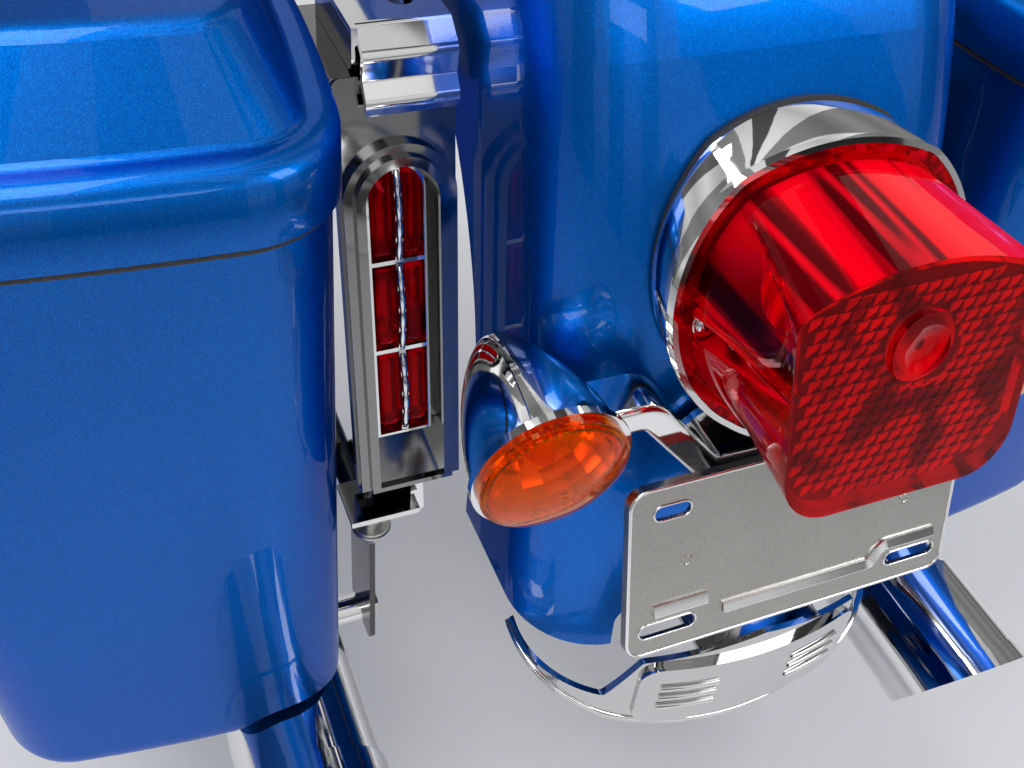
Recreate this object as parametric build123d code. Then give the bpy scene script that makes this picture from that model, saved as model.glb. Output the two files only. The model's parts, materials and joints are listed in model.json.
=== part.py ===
from build123d import *
import math
import os

# Tail section of a touring motorcycle, in millimetres.
# X points to the rider's right, Y forward, Z up.
# The origin is the centre of the four frame bolts, on the front face of the cross member.

os.makedirs("parts", exist_ok=True)

# Frame mount and subframe
bolt_spacing_x = 120.0
bolt_spacing_z = 44.0
bolt_hole_r = 5.25
cross_member_depth = 22.0
cross_member_height = 76.0
cross_member_wall = 5.0
arm_width = 16.0
arm_height = 34.0
arm_z = -2.0
arm_rear_y = -462.0
arm_fender_gap = 7.0
fender_pad_r = 12.0
fender_pad_y = (-160.0, -395.0)

# Fender
fender_half_width = 111.0
fender_wall = 2.5
crown_fillet = 52.0
fender_run_out = 60.0
fender_front_y = -90.0
fender_front_z = 122.0
fender_crest_y = -425.0
fender_crest_z = 149.0
shoulder_y = -580.0
shoulder_z = 48.0
lamp_seat_y = -622.0
lamp_seat_z = -108.0
fender_tip_y = -638.0
fender_tip_z = -290.0
wheel_arch_y = -260.0
wheel_arch_z = -205.0
wheel_arch_r = 258.0
tip_cutout_half_width = 66.0
tip_cutout_height = 30.0

# Tail lamp, on a plane that leans back
lamp_centre = (0.0, -636.0, -38.0)
lamp_tilt = 14.0
flange_half_width = 74.0
flange_top = 63.5
flange_bottom = -77.0
flange_thickness = 5.0
face_half_width = 62.0
face_top = 38.0
face_bottom = -73.0
lens_depth = 70.0
lens_wall = 3.0
screw_u = 61.5
screw_v = -7.0
screw_recess_r = 8.5
screw_recess_end_r = 1.5
screw_recess_drop = 5.0
boss_r = 17.0
bezel_back_half = 70.0
bezel_back_top = 75.5
bezel_back_bottom = -62.0
bezel_depth = 34.0
bezel_wall = 4.0
bezel_lip = 3.0
gasket_thickness = 3.0
gasket_lip_side = 0.8
gasket_lip_low = 4.0
bulb_r = 12.5
bulb_cap_r = 7.5
bulb_w = 20.0
reflector_back = 14.0
reflector_depth = 12.0
reflector_wall = 3.0
dish_centre_w = 38.0

# Turn signals and their bar
signal_offset = 18.5
signal_y = -651.0
signal_z = -106.0
signal_tilt = 6.0
signal_r = 36.5
signal_length = 84.0
signal_wall = 2.5
signal_lens_rise = 11.0
crest_rise = 1.5
crest_half_width = 14.0
bead_rise = 2.0
bead_width = 4.0
bar_back_y = -627.0
bar_width = 24.0
bar_thickness = 15.0
bar_outer_z = -88.0
bar_inner_z = -136.0
bar_knee_x = 82.0
bar_foot_x = 42.0
centre_plate_half_width = 50.0
centre_plate_height = 36.0
centre_plate_thickness = 4.0

# Plate bracket, on a plane that leans back
plate_centre = (0.0, -679.0, -166.5)
plate_tilt = 15.8
plate_width = 192.0
plate_height = 99.0
plate_thickness = 2.0
plate_corner_r = 9.0
slot_x = 73.0
slot_v = 34.5
top_slot_length = 19.0
low_slot_length = 31.0
slot_width = 7.5
foot_width = 64.0

# Fender bumper
bumper_y = -682.0
bumper_overlap = 6.0
bumper_wall = 3.5
bumper_top_z = -246.0
bumper_low_z = -326.0
bumper_wing_y = -586.0
bumper_wing_z = -300.0
panel_half_width = 72.0
panel_rise = 4.0
panel_height = 52.0
panel_z = -287.0
louvre_x = 40.0
louvre_length = 34.0
louvre_width = 4.0
louvre_pitch = 9.0

# Filler lamp panels
filler_y = -499.0
filler_z = -141.0
filler_tilt = 8.8
filler_half_width = 31.0
filler_top = 141.0
filler_cap_width = 15.5
filler_cap_front_y = -400.0
filler_cap_thickness = 4.0
filler_bottom = -108.0
filler_plate = 4.0
arch_centre_v = 77.0
bezel_half_width = 30.0
bezel_rise = 9.0
step_half_width = 24.5
step_rise = 5.5
window_half_width = 19.5
window_bottom = -104.0
recess_depth = 16.0
filler_back = 3.0
filler_lens_half_width = 14.5
filler_rows = 3
filler_lens_low = -74.0
filler_lens_high = 92.0

# Saddlebags, left bag values
bag_width = 240.0
bag_rail_gap = 6.0
bag_bow_length = 168.0
bag_bow_depth = 14.0
bag_rear_bow = 20.0
bag_rear_y = -569.0
bag_front_y = 8.0
bag_floor_z = -425.0
bag_taper_inner = 3.0
bag_taper_outer = 22.0
bag_taper_rear = 12.0
bag_taper_front = 30.0
bag_corner_r = 44.0
bag_floor_fillet = 30.0
bag_wall = 3.0
neck_low_z = -22.0
neck_top_z = 8.0
neck_inset = 7.0
lid_overhang = 4.0
lid_low_z = -19.0
rim_top_z = 20.0
rim_fillet = 9.0
lid_wall = 3.0
dome_low_inset = 7.0
dome_high_inset = 31.0
dome_top_z = 66.0
dome_corner_r = 26.0
dome_fillet = 9.0
cove_r = 4.0
hinge_drop = 6.0
hinge_out = 7.0
hinge_y = (-430.0, -130.0)
hinge_length = 60.0
hinge_pin_r = 3.0
hinge_knuckle_r = 5.5

# Mufflers
muffler_offset = 46.0
muffler_z = -444.0
muffler_r = 47.0
muffler_rear_y = -634.0
muffler_front_y = -60.0
muffler_cone_length = 90.0
inlet_bore_r = 23.0
inlet_wall = 2.0
inlet_length = 62.0
tip_wall = 2.0
tip_seat_length = 44.0
tip_overhang = 28.0
tip_cut_angle = 23.5
tip_band_width = 14.0
tip_band_rise = 0.8
outlet_r = 36.0
notch_clearance = 7.0

# Brackets and rails
rail_z = -292.0
rail_r = 8.0
rail_rear_y = -506.0
rail_front_y = -60.0
leg_width = 30.0
leg_thickness = 6.0
front_leg_y = -75.0
shelf_rise = 22.0
shelf_outer_reach = 39.0
shelf_inner_reach = 3.0
shelf_rear_y = -529.0
shelf_depth = 33.0
shelf_flange = 10.0
shelf_thickness = 4.0
cradle_y = (-430.0, -150.0)
cradle_width = 34.0
cradle_height = 26.0
hanger_y = (-460.0, -240.0)
hanger_width = 46.0
seat_gap = 0.3

# Docking brackets
dock_overhang = 32.0
dock_rise = 5.0
dock_thickness = 4.0
dock_length = 52.0
dock_hole_ahead = 11.0
dock_hole_shift = 5.0
dock_hole_r = 6.5
wing_thickness = 3.0

# Places that follow from the sizes above
arm_x = fender_half_width + arm_fender_gap + arm_width / 2
arm_outer_x = arm_x + arm_width / 2
arm_top_z = arm_z + arm_height / 2
leg_x = -arm_outer_x - leg_width / 2
rail_x = leg_x - leg_width / 2 - rail_r
bag_inner_x = rail_x - rail_r - bag_rail_gap
bag_outer_x = bag_inner_x - bag_width
muffler_x = bag_inner_x - muffler_offset
signal_x = fender_half_width + signal_offset
bumper_half_width = fender_half_width + bumper_overlap
filler_centre = (leg_x, filler_y, filler_z)
dock_outer_x = -arm_outer_x - dock_overhang
dock_inner_x = -arm_outer_x + arm_width - 1.0
dock_hole_x = (dock_outer_x + dock_inner_x) / 2 + dock_hole_shift
dock_hole_y = arm_rear_y + dock_hole_ahead
dock_z = arm_top_z + dock_rise


def save(name, shape):
    """Write one sub-part, as a single solid or a compound of solids."""
    solids = shape.solids()
    out = solids[0] if len(solids) == 1 else Compound(children=list(solids))
    export_step(out, f"parts/{name}.step")


def pair(name, left_shape):
    """Write the left piece and its mirror image."""
    save(f"left_{name}", left_shape)
    save(f"right_{name}", mirror(left_shape, about=Plane.YZ))


def leaning_plane(centre, tilt):
    """Plane whose outward side faces rearward and up by the tilt."""
    lean = math.radians(tilt)
    return Plane(origin=centre, x_dir=(1, 0, 0), z_dir=(0, -math.cos(lean), math.sin(lean)))


def block(x0, x1, y0, y1, z0, z1):
    """Box between two corners."""
    size = Box(abs(x1 - x0), abs(y1 - y0), abs(z1 - z0))
    return Pos((x0 + x1) / 2, (y0 + y1) / 2, (z0 + z1) / 2) * size


def rod(start, end, radius):
    """Round bar between two points."""
    a = Vector(*start)
    b = Vector(*end)
    base = Plane(origin=a, z_dir=b - a)
    return extrude(base * Circle(radius), (b - a).length)


# Fender

def fender_side():
    """Closed side outline of the fender, run out past its front and its tip."""
    crest = (fender_crest_y, fender_crest_z)
    roof = TangentArc(crest, (fender_front_y, fender_front_z), tangent=(1, 0))
    bow = TangentArc(crest, (shoulder_y, shoulder_z), tangent=(-1, 0))
    back = TangentArc((shoulder_y, shoulder_z), (lamp_seat_y, lamp_seat_z), tangent=bow % 1)
    skirt = TangentArc((lamp_seat_y, lamp_seat_z), (fender_tip_y, fender_tip_z), tangent=back % 1)
    ahead = roof @ 1 + (roof % 1) * fender_run_out
    below = skirt @ 1 + (skirt % 1) * fender_run_out
    close = Polyline(skirt @ 1, below, (ahead.X, below.Y), ahead, roof @ 1)
    return make_face([*roof.edges(), *bow.edges(), *back.edges(), *skirt.edges(), *close.edges()])


def fender_back(z):
    """Rearmost Y of the fender's skin at a height."""
    strip = fender_side() & (Pos(0, z) * Rectangle(4000.0, 0.2))
    return strip.bounding_box().min.X


def fender_form(inset):
    """Solid under the fender's skin, moved inwards by the inset."""
    face = fender_side()
    if inset:
        face = offset(face, -inset, kind=Kind.INTERSECTION)
    half = fender_half_width - inset
    solid = extrude(Plane.YZ * face, amount=half, both=True)
    side_edges = [e for e in solid.edges() if abs(e.bounding_box().min.X - e.bounding_box().max.X) < 0.01]
    bends = [e for e in side_edges if e.geom_type == GeomType.CIRCLE]
    ends = [v for e in bends for v in (e @ 0, e @ 1)]
    runs = [e for e in side_edges if e.geom_type == GeomType.LINE
            and any((e @ t - v).length < 0.01 for t in (0, 1) for v in ends)]
    return fillet(bends + runs, crown_fillet - inset)


def make_fender():
    skin = fender_form(0.0) - fender_form(fender_wall)
    reach = fender_half_width + 40.0
    skin &= block(-reach, reach, fender_tip_y - 10, fender_front_y, fender_tip_z, fender_crest_z + 10)
    arch_front = wheel_arch_y - wheel_arch_r
    arch = rod((-reach, wheel_arch_y, wheel_arch_z), (reach, wheel_arch_y, wheel_arch_z), wheel_arch_r)
    skin -= arch
    skin -= block(-reach, reach, arch_front, fender_front_y + 1, fender_tip_z - 1, wheel_arch_z)
    cutout = block(-tip_cutout_half_width, tip_cutout_half_width, fender_tip_y - 5, fender_tip_y + 40,
                   fender_tip_z - 1, fender_tip_z + tip_cutout_height)
    skin -= fillet(cutout.edges().filter_by(Axis.Y).group_by(Axis.Z)[-1], 12.0)
    return skin


# Tail lamp

def lamp_outline(half, top, bottom):
    """Egg-shaped outline of the lamp: arched above, narrower below."""
    shoulder_u = 0.64 * half
    shoulder_v = 0.84 * top
    knee_u = 0.58 * half
    knee_v = 0.80 * bottom
    crown = ThreePointArc((-shoulder_u, shoulder_v), (0, top), (shoulder_u, shoulder_v))
    right = ThreePointArc((shoulder_u, shoulder_v), (half, 0.08 * top), (knee_u, knee_v))
    base = ThreePointArc((knee_u, knee_v), (0, bottom), (-knee_u, knee_v))
    left = ThreePointArc((-knee_u, knee_v), (-half, 0.08 * top), (-shoulder_u, shoulder_v))
    face = make_face([*crown.edges(), *right.edges(), *base.edges(), *left.edges()])
    return fillet(face.vertices(), 0.2 * half)


def face_outline(inset):
    """Outline of the lens's flat face, moved inwards by the inset."""
    half = face_half_width - inset
    top = face_top - inset
    bottom = face_bottom + inset
    crown = ThreePointArc((-half, 0.62 * top), (0, top), (half, 0.62 * top))
    sides = Polyline((half, 0.62 * top), (0.93 * half, bottom), (-0.93 * half, bottom), (-half, 0.62 * top))
    face = make_face([*crown.edges(), *sides.edges()])
    corners = face.vertices().sort_by(Axis.Y)
    face = fillet(corners[:2], 24.0 - inset / 2)
    return fillet(face.vertices().sort_by(Axis.Y)[-2:], 9.0 - inset / 2)


lamp = leaning_plane(lamp_centre, lamp_tilt)


def flange_face(grow):
    return lamp_outline(flange_half_width + grow, flange_top + grow, flange_bottom - grow)


def screw_recesses(grow):
    """Tapered channels in the lens's sides, from the flange screws to the face."""
    cuts = []
    for side in (-1, 1):
        start = lamp * Pos(side * screw_u, screw_v, flange_thickness - grow) * Circle(screw_recess_r + grow)
        end = lamp * Pos(side * screw_u, screw_v - screw_recess_drop, lens_depth - 1.0) * Circle(
            screw_recess_end_r + grow)
        cuts.append(loft([start, end]))
    return cuts


def make_lens():
    flange = extrude(lamp * flange_face(0.0), flange_thickness)
    root = lamp * Pos(0, 0, 1.0) * flange_face(-6.0)
    front = lamp * Pos(0, 0, lens_depth) * face_outline(0.0)
    bowl = loft([root, front])
    hollow_root = lamp * Pos(0, 0, -1.0) * flange_face(-6.0 - lens_wall)
    hollow_front = lamp * Pos(0, 0, lens_depth - lens_wall) * face_outline(lens_wall)
    hollow = loft([hollow_root, hollow_front])
    boss = lamp * Pos(1, 0, lens_depth - 1.0) * extrude(Circle(boss_r), 3.0)
    dish = lamp * Pos(1, 0, lens_depth + boss_r * 1.6) * Sphere(boss_r * 1.62)
    for cut in screw_recesses(0.0):
        bowl -= cut
    for wall in screw_recesses(lens_wall):
        hollow -= wall
    return flange + bowl + (boss - dish) - hollow


def bezel_back(grow):
    """Outline of the bezel where it meets the fender."""
    return lamp_outline(bezel_back_half + grow, bezel_back_top + grow, bezel_back_bottom - grow)


def bezel_room(gap):
    """Room inside the bezel's wall, moved inwards by a gap."""
    back = lamp * Pos(0, 0, -bezel_depth) * bezel_back(-bezel_wall - gap)
    front = lamp * flange_face(-bezel_wall - gap)
    return loft([back, front])


def make_bezel():
    seat = lamp * Pos(0, 0, -bezel_depth) * bezel_back(0.0)
    front = lamp * flange_face(bezel_lip)
    body = loft([seat, front])
    rim = extrude(lamp * flange_face(bezel_lip), flange_thickness + 0.5) - extrude(
        lamp * flange_face(seat_gap), flange_thickness + 0.5)
    return body - bezel_room(0.0) + rim - fender_form(-gasket_thickness - 2 * seat_gap)


def make_gasket():
    """Rubber ring between the bezel and the fender, showing below the bezel."""
    outline = lamp_outline(
        bezel_back_half + gasket_lip_side, bezel_back_top, bezel_back_bottom - gasket_lip_low)
    ring = extrude(lamp * outline, -bezel_depth)
    ring -= extrude(lamp * bezel_back(-bezel_wall), -bezel_depth)
    return (ring & fender_form(-gasket_thickness - seat_gap)) - fender_form(-seat_gap)


def make_reflector():
    """Dished reflector that fills the bezel's room, with a socket for the bulb."""
    slab = extrude(lamp * Pos(0, 0, -reflector_back) * Circle(2 * flange_half_width), reflector_depth)
    bowl = bezel_room(seat_gap) & slab
    dish = lamp * Pos(0, 0, dish_centre_w) * Sphere(dish_centre_w + reflector_back - reflector_wall)
    socket = lamp * Pos(0, 0, -reflector_back) * extrude(Circle(bulb_cap_r + seat_gap), reflector_depth)
    return bowl - dish - socket


def make_bulb():
    glass = lamp * Pos(0, 0, bulb_w) * Sphere(bulb_r)
    cap_length = reflector_back + bulb_w - bulb_r / 2
    cap = lamp * Pos(0, 0, -reflector_back) * extrude(Circle(bulb_cap_r), cap_length)
    return glass + cap


# Turn signals

def signal_plane():
    """Plane at the left signal's lens rim, facing rearward and slightly down."""
    lean = math.radians(signal_tilt)
    return Plane(origin=(-signal_x, signal_y, signal_z), x_dir=(1, 0, 0),
                 z_dir=(0, -math.cos(lean), -math.sin(lean)))


def bullet(radius, length):
    """Round nosed body behind the lens rim."""
    place = signal_plane()
    flank = Bezier((0, radius), (-0.36 * length, radius), (-0.9 * length, 0.5 * radius), (-length, 0))
    close = Polyline((-length, 0), (0, 0), (0, radius))
    face = make_face([*flank.edges(), *close.edges()])
    side = Plane(origin=place.origin, x_dir=place.z_dir, z_dir=place.x_dir)
    return revolve(side * face, Axis(place.origin, place.z_dir))


def make_signal_housing():
    place = signal_plane()
    body = bullet(signal_r, signal_length)
    roof = Plane(origin=place.origin + place.y_dir * signal_r / 4, x_dir=(1, 0, 0), z_dir=place.y_dir)
    reach = 0.86 * signal_length
    fan = make_face(Polyline(
        (-crest_half_width, 0),
        (crest_half_width, 0),
        (crest_half_width / 3, reach),
        (-crest_half_width / 3, reach),
        (-crest_half_width, 0)))
    crest = bullet(signal_r + crest_rise, signal_length + 2 * crest_rise) & extrude(roof * fan, signal_r)
    bead = extrude(place * Circle(signal_r + bead_rise), -bead_width)
    dish = bullet(signal_r - signal_wall, signal_length * 0.5)
    return body + crest + bead - dish


def make_signal_lens():
    place = signal_plane()
    rim = extrude(place * Circle(signal_r - 0.5), 4.0)
    dome_r = (signal_r ** 2 + signal_lens_rise ** 2) / (2 * signal_lens_rise)
    dome = place * Pos(0, 0, 4.0 + signal_lens_rise - dome_r) * Sphere(dome_r)
    cap = dome & extrude(place * Pos(0, 0, 4.0) * Circle(signal_r - 2.0), signal_lens_rise + 1)
    inner_dome = place * Pos(0, 0, 1.0 + signal_lens_rise - dome_r) * Sphere(dome_r)
    tunnel = extrude(place * Circle(signal_r - 5.0), signal_lens_rise + 4)
    hollow = inner_dome & tunnel
    return rim + cap - hollow


def make_signal_bar():
    path = FilletPolyline(
        (-signal_x + 0.6 * signal_r, bar_outer_z),
        (-bar_knee_x, bar_outer_z),
        (-bar_foot_x, bar_inner_z),
        (0, bar_inner_z),
        radius=14.0,
    )
    back = Plane(origin=(0, bar_back_y, 0), x_dir=(1, 0, 0), z_dir=(0, -1, 0))
    strip = extrude(back * trace(path, bar_thickness), bar_width)
    strip = strip + mirror(strip, about=Plane.YZ)
    front_edges = [e for e in strip.edges() if e.length > 8 and abs(e.center().Y - bar_back_y) > 20]
    strip = fillet(front_edges, 3.0)
    flat = back * Pos(0, bar_inner_z + 4.0) * RectangleRounded(
        2 * centre_plate_half_width, centre_plate_height, centre_plate_height / 2 - 1)
    bar = strip + extrude(flat, centre_plate_thickness)
    body = bullet(signal_r + seat_gap, signal_length + seat_gap)
    body += extrude(signal_plane() * Circle(signal_r + bead_rise + seat_gap), -bead_width - seat_gap)
    return bar - body - mirror(body, about=Plane.YZ)


# Plate bracket

def make_plate_bracket():
    place = leaning_plane(plate_centre, plate_tilt)
    sheet = RectangleRounded(plate_width, plate_height, plate_corner_r)
    for side in (-1, 1):
        sheet -= Pos(side * slot_x, slot_v) * SlotOverall(top_slot_length, slot_width)
        sheet -= Pos(side * slot_x, -slot_v) * SlotOverall(low_slot_length, slot_width)
    plate = extrude(place * sheet, -plate_thickness)
    edge = RectangleRounded(plate_width, plate_height, plate_corner_r) - RectangleRounded(
        plate_width - 3.0, plate_height - 3.0, plate_corner_r - 1.5)
    plate += extrude(place * edge, -plate_thickness - 3.0)
    plate += extrude(place * Pos(-66.5, -22.5) * SlotOverall(29.0, 6.0), 1.2)
    rib = FilletPolyline((-42, -32.5), (46, -32.5), (54, -23.0), (86, -23.0), radius=5.0)
    plate += extrude(place * trace(rib, 5.0), 1.2)
    lean = math.tan(math.radians(plate_tilt))
    shelf_z = plate_centre[2] + 14.0
    plate_y = plate_centre[1] + 14.0 * lean + 1.0
    tab_y = bar_back_y - 4.5
    half = foot_width / 2
    shelf = block(-half, half, plate_y, tab_y, shelf_z, shelf_z + 3.0)
    tab = block(-half, half, tab_y - 3.0, tab_y, shelf_z - 32.0, shelf_z + 3.0)
    return plate + shelf + tab


# Fender bumper

def bumper_strip(offset_y, thickness, half_width):
    """Bowed band in plan, from wing to wing, before its outline is cut."""
    middle = ThreePointArc(
        (-panel_half_width, bumper_y + 12.0 - offset_y),
        (0, bumper_y - offset_y),
        (panel_half_width, bumper_y + 12.0 - offset_y))
    if half_width <= panel_half_width:
        return trace(middle, thickness)
    right = TangentArc(middle @ 1, (bumper_half_width - 4.0, bumper_wing_y - 14.0), tangent=middle % 1)
    left = TangentArc(middle @ 0, (-bumper_half_width + 4.0, bumper_wing_y - 14.0), tangent=(middle % 0) * -1)
    return trace([left, middle, right], thickness)


def make_bumper():
    low = ThreePointArc(
        (-bumper_half_width, bumper_wing_z), (0, bumper_low_z), (bumper_half_width, bumper_wing_z))
    wing_z = fender_tip_z - 1.5
    top = FilletPolyline(
        (bumper_half_width, bumper_wing_z),
        (bumper_half_width - 4.0, wing_z),
        (panel_half_width + 12.0, wing_z),
        (panel_half_width - 4.0, bumper_top_z - 12.0),
        (0, bumper_top_z),
        (-panel_half_width + 4.0, bumper_top_z - 12.0),
        (-panel_half_width - 12.0, wing_z),
        (-bumper_half_width + 4.0, wing_z),
        (-bumper_half_width, bumper_wing_z),
        radius=3.0,
    )
    front = Plane(origin=(0, bumper_wing_y + 20, 0), x_dir=(1, 0, 0), z_dir=(0, -1, 0))
    depth = bumper_wing_y - bumper_y + 60.0
    outline = extrude(front * make_face([*low.edges(), *top.edges()]), depth)
    floor = Plane(origin=(0, 0, bumper_low_z - 5), x_dir=(1, 0, 0), z_dir=(0, 0, 1))
    band = extrude(floor * bumper_strip(0.0, bumper_wall, bumper_half_width), 100.0) & outline
    panel_face = Pos(0, panel_z) * RectangleRounded(2 * panel_half_width - 6.0, panel_height, 12.0)
    for side in (-1, 1):
        for row in (-1, 0, 1):
            place = Pos(side * louvre_x, panel_z + row * louvre_pitch)
            panel_face -= place * SlotOverall(louvre_length, louvre_width)
    panel = extrude(floor * bumper_strip(panel_rise - 1.0, panel_rise, panel_half_width), 100.0)
    panel &= extrude(front * panel_face, depth)
    strap_z = fender_tip_z + tip_cutout_height + 6.0
    tab_y = fender_back(strap_z) - seat_gap
    strap = block(-38, 38, bumper_y + 2.0, tab_y - 3.0, strap_z, strap_z + 3.0)
    tab = block(-38, 38, tab_y - 3.0, tab_y, strap_z, strap_z + 26.0)
    return band + panel + strap + tab


# Filler lamp panels

filler = leaning_plane(filler_centre, filler_tilt)


def filler_cap_top_z():
    """Height of the filler panel's top edge."""
    return filler_z + filler_top * math.cos(math.radians(filler_tilt))


def filler_face_y(z):
    """Y of the filler panel's outer face at a height."""
    return filler_y + (z - filler_z) * math.tan(math.radians(filler_tilt))


def arch(half, low):
    """Upright outline with a round top."""
    side = Polyline((half, arch_centre_v), (half, low), (-half, low), (-half, arch_centre_v))
    cap = ThreePointArc((-half, arch_centre_v), (0, arch_centre_v + half), (half, arch_centre_v))
    return make_face([*side.edges(), *cap.edges()])


def make_filler_panel():
    height = filler_top - filler_bottom
    middle = (filler_top + filler_bottom) / 2
    sheet = filler * Pos(0, middle) * RectangleRounded(2 * filler_half_width, height, 5.0)
    body = extrude(sheet, -filler_plate)
    body += extrude(filler * arch(bezel_half_width, filler_bottom + 1.0), step_rise)
    body += extrude(filler * arch(step_half_width, filler_bottom + 1.0), bezel_rise)
    body += extrude(filler * arch(bezel_half_width - 2.0, filler_bottom + 1.0), -recess_depth - filler_back)
    pocket = extrude(filler * Pos(0, 0, bezel_rise + 1) * arch(window_half_width, window_bottom),
                     -recess_depth - bezel_rise - 1)
    body -= pocket
    ramp_face = make_face(Polyline(
        (window_bottom - 2.0, -recess_depth), (window_bottom - 2.0, step_rise),
        (filler_lens_low - 5.0, -recess_depth + 1.0), (filler_lens_low - 5.0, -recess_depth),
        (window_bottom - 2.0, -recess_depth)))
    side = Plane(origin=filler.origin, x_dir=filler.y_dir, z_dir=filler.x_dir)
    ramp = extrude(side * ramp_face, amount=window_half_width, both=True)
    outer = leg_x - filler_half_width
    rear = filler_face_y(arm_z) + 1.0
    cap_top = filler_cap_top_z()
    ledge_front = arm_rear_y - 0.5
    cap = block(outer, leg_x + filler_half_width, rear, ledge_front, cap_top - filler_cap_thickness, cap_top)
    cap += block(outer, outer + filler_cap_width, rear, filler_cap_front_y,
                 cap_top - filler_cap_thickness, cap_top)
    return body + ramp + cap


def filler_cells():
    """Low and high edge of each lens row in the filler panel."""
    pitch = (filler_lens_high - filler_lens_low) / filler_rows
    return [(filler_lens_low + i * pitch, filler_lens_low + (i + 1) * pitch) for i in range(filler_rows)]


def filler_recess(half):
    """Arched room of a half width, a gap clear of the window's floor."""
    window = arch(half, filler_lens_low - 4.5)
    return extrude(filler * Pos(0, 0, -recess_depth + seat_gap) * window, recess_depth + bezel_rise)


def make_filler_lens():
    half = filler_lens_half_width
    middle = (filler_lens_low + filler_lens_high) / 2
    height = filler_lens_high - filler_lens_low
    floor_w = -recess_depth + seat_gap
    body = extrude(filler * Pos(0, middle, floor_w) * RectangleRounded(2 * half, height, 6.0), 3.0)
    for low, high in filler_cells():
        for side in (-1, 1):
            cushion = extrude(
                filler * Pos(side * (half / 2 + 0.8), (low + high) / 2, floor_w + 2.0)
                * RectangleRounded(half - 3.2, high - low - 6.0, 3.5), 9.0)
            outer_face = cushion.faces().sort_by(Axis(filler.origin, filler.z_dir))[-1]
            body += fillet(outer_face.edges(), 3.0)
    return body & filler_recess(half)


def make_filler_grille():
    half = filler_lens_half_width + 1.6
    floor_w = -recess_depth + seat_gap
    ring = arch(half, filler_lens_low - 3.0) - arch(half - 1.5, filler_lens_low - 1.5)
    frame = extrude(filler * Pos(0, 0, floor_w) * ring, 11.5)
    for low, high in filler_cells()[:-1]:
        frame += extrude(filler * Pos(0, high, floor_w + 9.0) * Rectangle(2 * half - 1.0, 2.4), 2.5)
    side = Plane(origin=filler.origin, x_dir=filler.y_dir, z_dir=filler.x_dir)
    for low, high in filler_cells():
        bow = ThreePointArc((low, -4.5), ((low + high) / 2, -1.0), (high, -4.5))
        frame += extrude(side * trace(bow, 2.2), amount=1.9, both=True)
    return frame & filler_recess(window_half_width - seat_gap)


# Docking brackets

def make_docking_bracket():
    """Flat tongue with its dock hole, turned down over the filler panel, and an upright outer wing."""
    face_y = filler_face_y(arm_z) - dock_thickness / 2 - seat_gap
    front_y = arm_rear_y + dock_length
    path = FilletPolyline(
        (front_y, dock_z),
        (face_y + 9.0, dock_z),
        (face_y - 3.0, dock_z - 9.0),
        (face_y - 1.5, dock_z - 22.0),
        (face_y - 8.0, dock_z - 31.0),
        (face_y - 5.5, dock_z - 37.0),
        radius=3.5,
    )
    half = (dock_inner_x - dock_outer_x) / 2
    middle = (dock_inner_x + dock_outer_x) / 2
    strip = extrude(Plane.YZ.offset(middle) * trace(path, dock_thickness), amount=half, both=True)
    hole = rod((dock_hole_x, dock_hole_y, dock_z - 10), (dock_hole_x, dock_hole_y, dock_z + 10), dock_hole_r)
    foot = block(-arm_outer_x, dock_inner_x, arm_rear_y + 2.0, front_y, arm_top_z, dock_z)
    wing = block(dock_outer_x - wing_thickness, dock_outer_x, face_y + 4.0, front_y,
                 filler_cap_top_z() + seat_gap, dock_z + dock_thickness / 2)
    wing = fillet(wing.edges().filter_by(Axis.X).group_by(Axis.Y)[0].sort_by(Axis.Z)[:1], 8.0)
    return strip + foot + wing - hole


# Subframe

def make_subframe():
    half_h = cross_member_height / 2
    half_w = arm_x + arm_width / 2
    beam = block(-half_w, half_w, -cross_member_depth, 0, -half_h, half_h)
    beam -= block(-half_w + 26.0, half_w - 26.0, -cross_member_depth - 1, -cross_member_wall,
                  -half_h + cross_member_wall, half_h - cross_member_wall)
    for x in (-bolt_spacing_x / 2, bolt_spacing_x / 2):
        for z in (-bolt_spacing_z / 2, bolt_spacing_z / 2):
            beam -= rod((x, -cross_member_depth - 1, z), (x, 1, z), bolt_hole_r)
    for side in (-1, 1):
        x = side * arm_x
        beam += block(x - arm_width / 2, x + arm_width / 2, arm_rear_y, -cross_member_depth,
                      arm_z - arm_height / 2, arm_z + arm_height / 2)
        pad_inner = side * fender_half_width
        pad_outer = side * (fender_half_width + arm_fender_gap)
        pad_z = arm_z + 6.0
        for y in fender_pad_y:
            beam += rod((pad_inner, y, pad_z), (pad_outer, y, pad_z), fender_pad_r)
    return beam


# Saddlebags

def bag_section(z, inset, taper, corner=None):
    """Plan outline of the bag at a height, moved in by the inset and the taper share.

    The inboard side bows away towards the rear, and the rear side bows away outboard.
    """
    corner_r = bag_corner_r - inset if corner is None else corner
    x0 = bag_outer_x + inset + taper * bag_taper_outer
    x1 = bag_inner_x - inset - taper * bag_taper_inner
    y0 = bag_rear_y + inset + taper * bag_taper_rear
    y1 = bag_front_y - inset - taper * bag_taper_front
    bow_start = (x1, bag_rear_y + bag_bow_length)
    rear_inner = (x1 - bag_bow_depth, y0)
    rear_outer = (x0, y0 + bag_rear_bow)
    side = TangentArc(bow_start, rear_inner, tangent=(0, -1))
    rear = TangentArc(rear_inner, rear_outer, tangent=(-1, 0))
    rest = Polyline(rear_outer, (x0, y1), (x1, y1), bow_start)
    face = make_face([*side.edges(), *rear.edges(), *rest.edges()])
    corners = [v for v in face.vertices() if (Vector(v.X, v.Y) - Vector(*bow_start)).length > 1.0]
    return Plane(origin=(0, 0, z), z_dir=(0, 0, 1)) * fillet(corners, corner_r)


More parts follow.
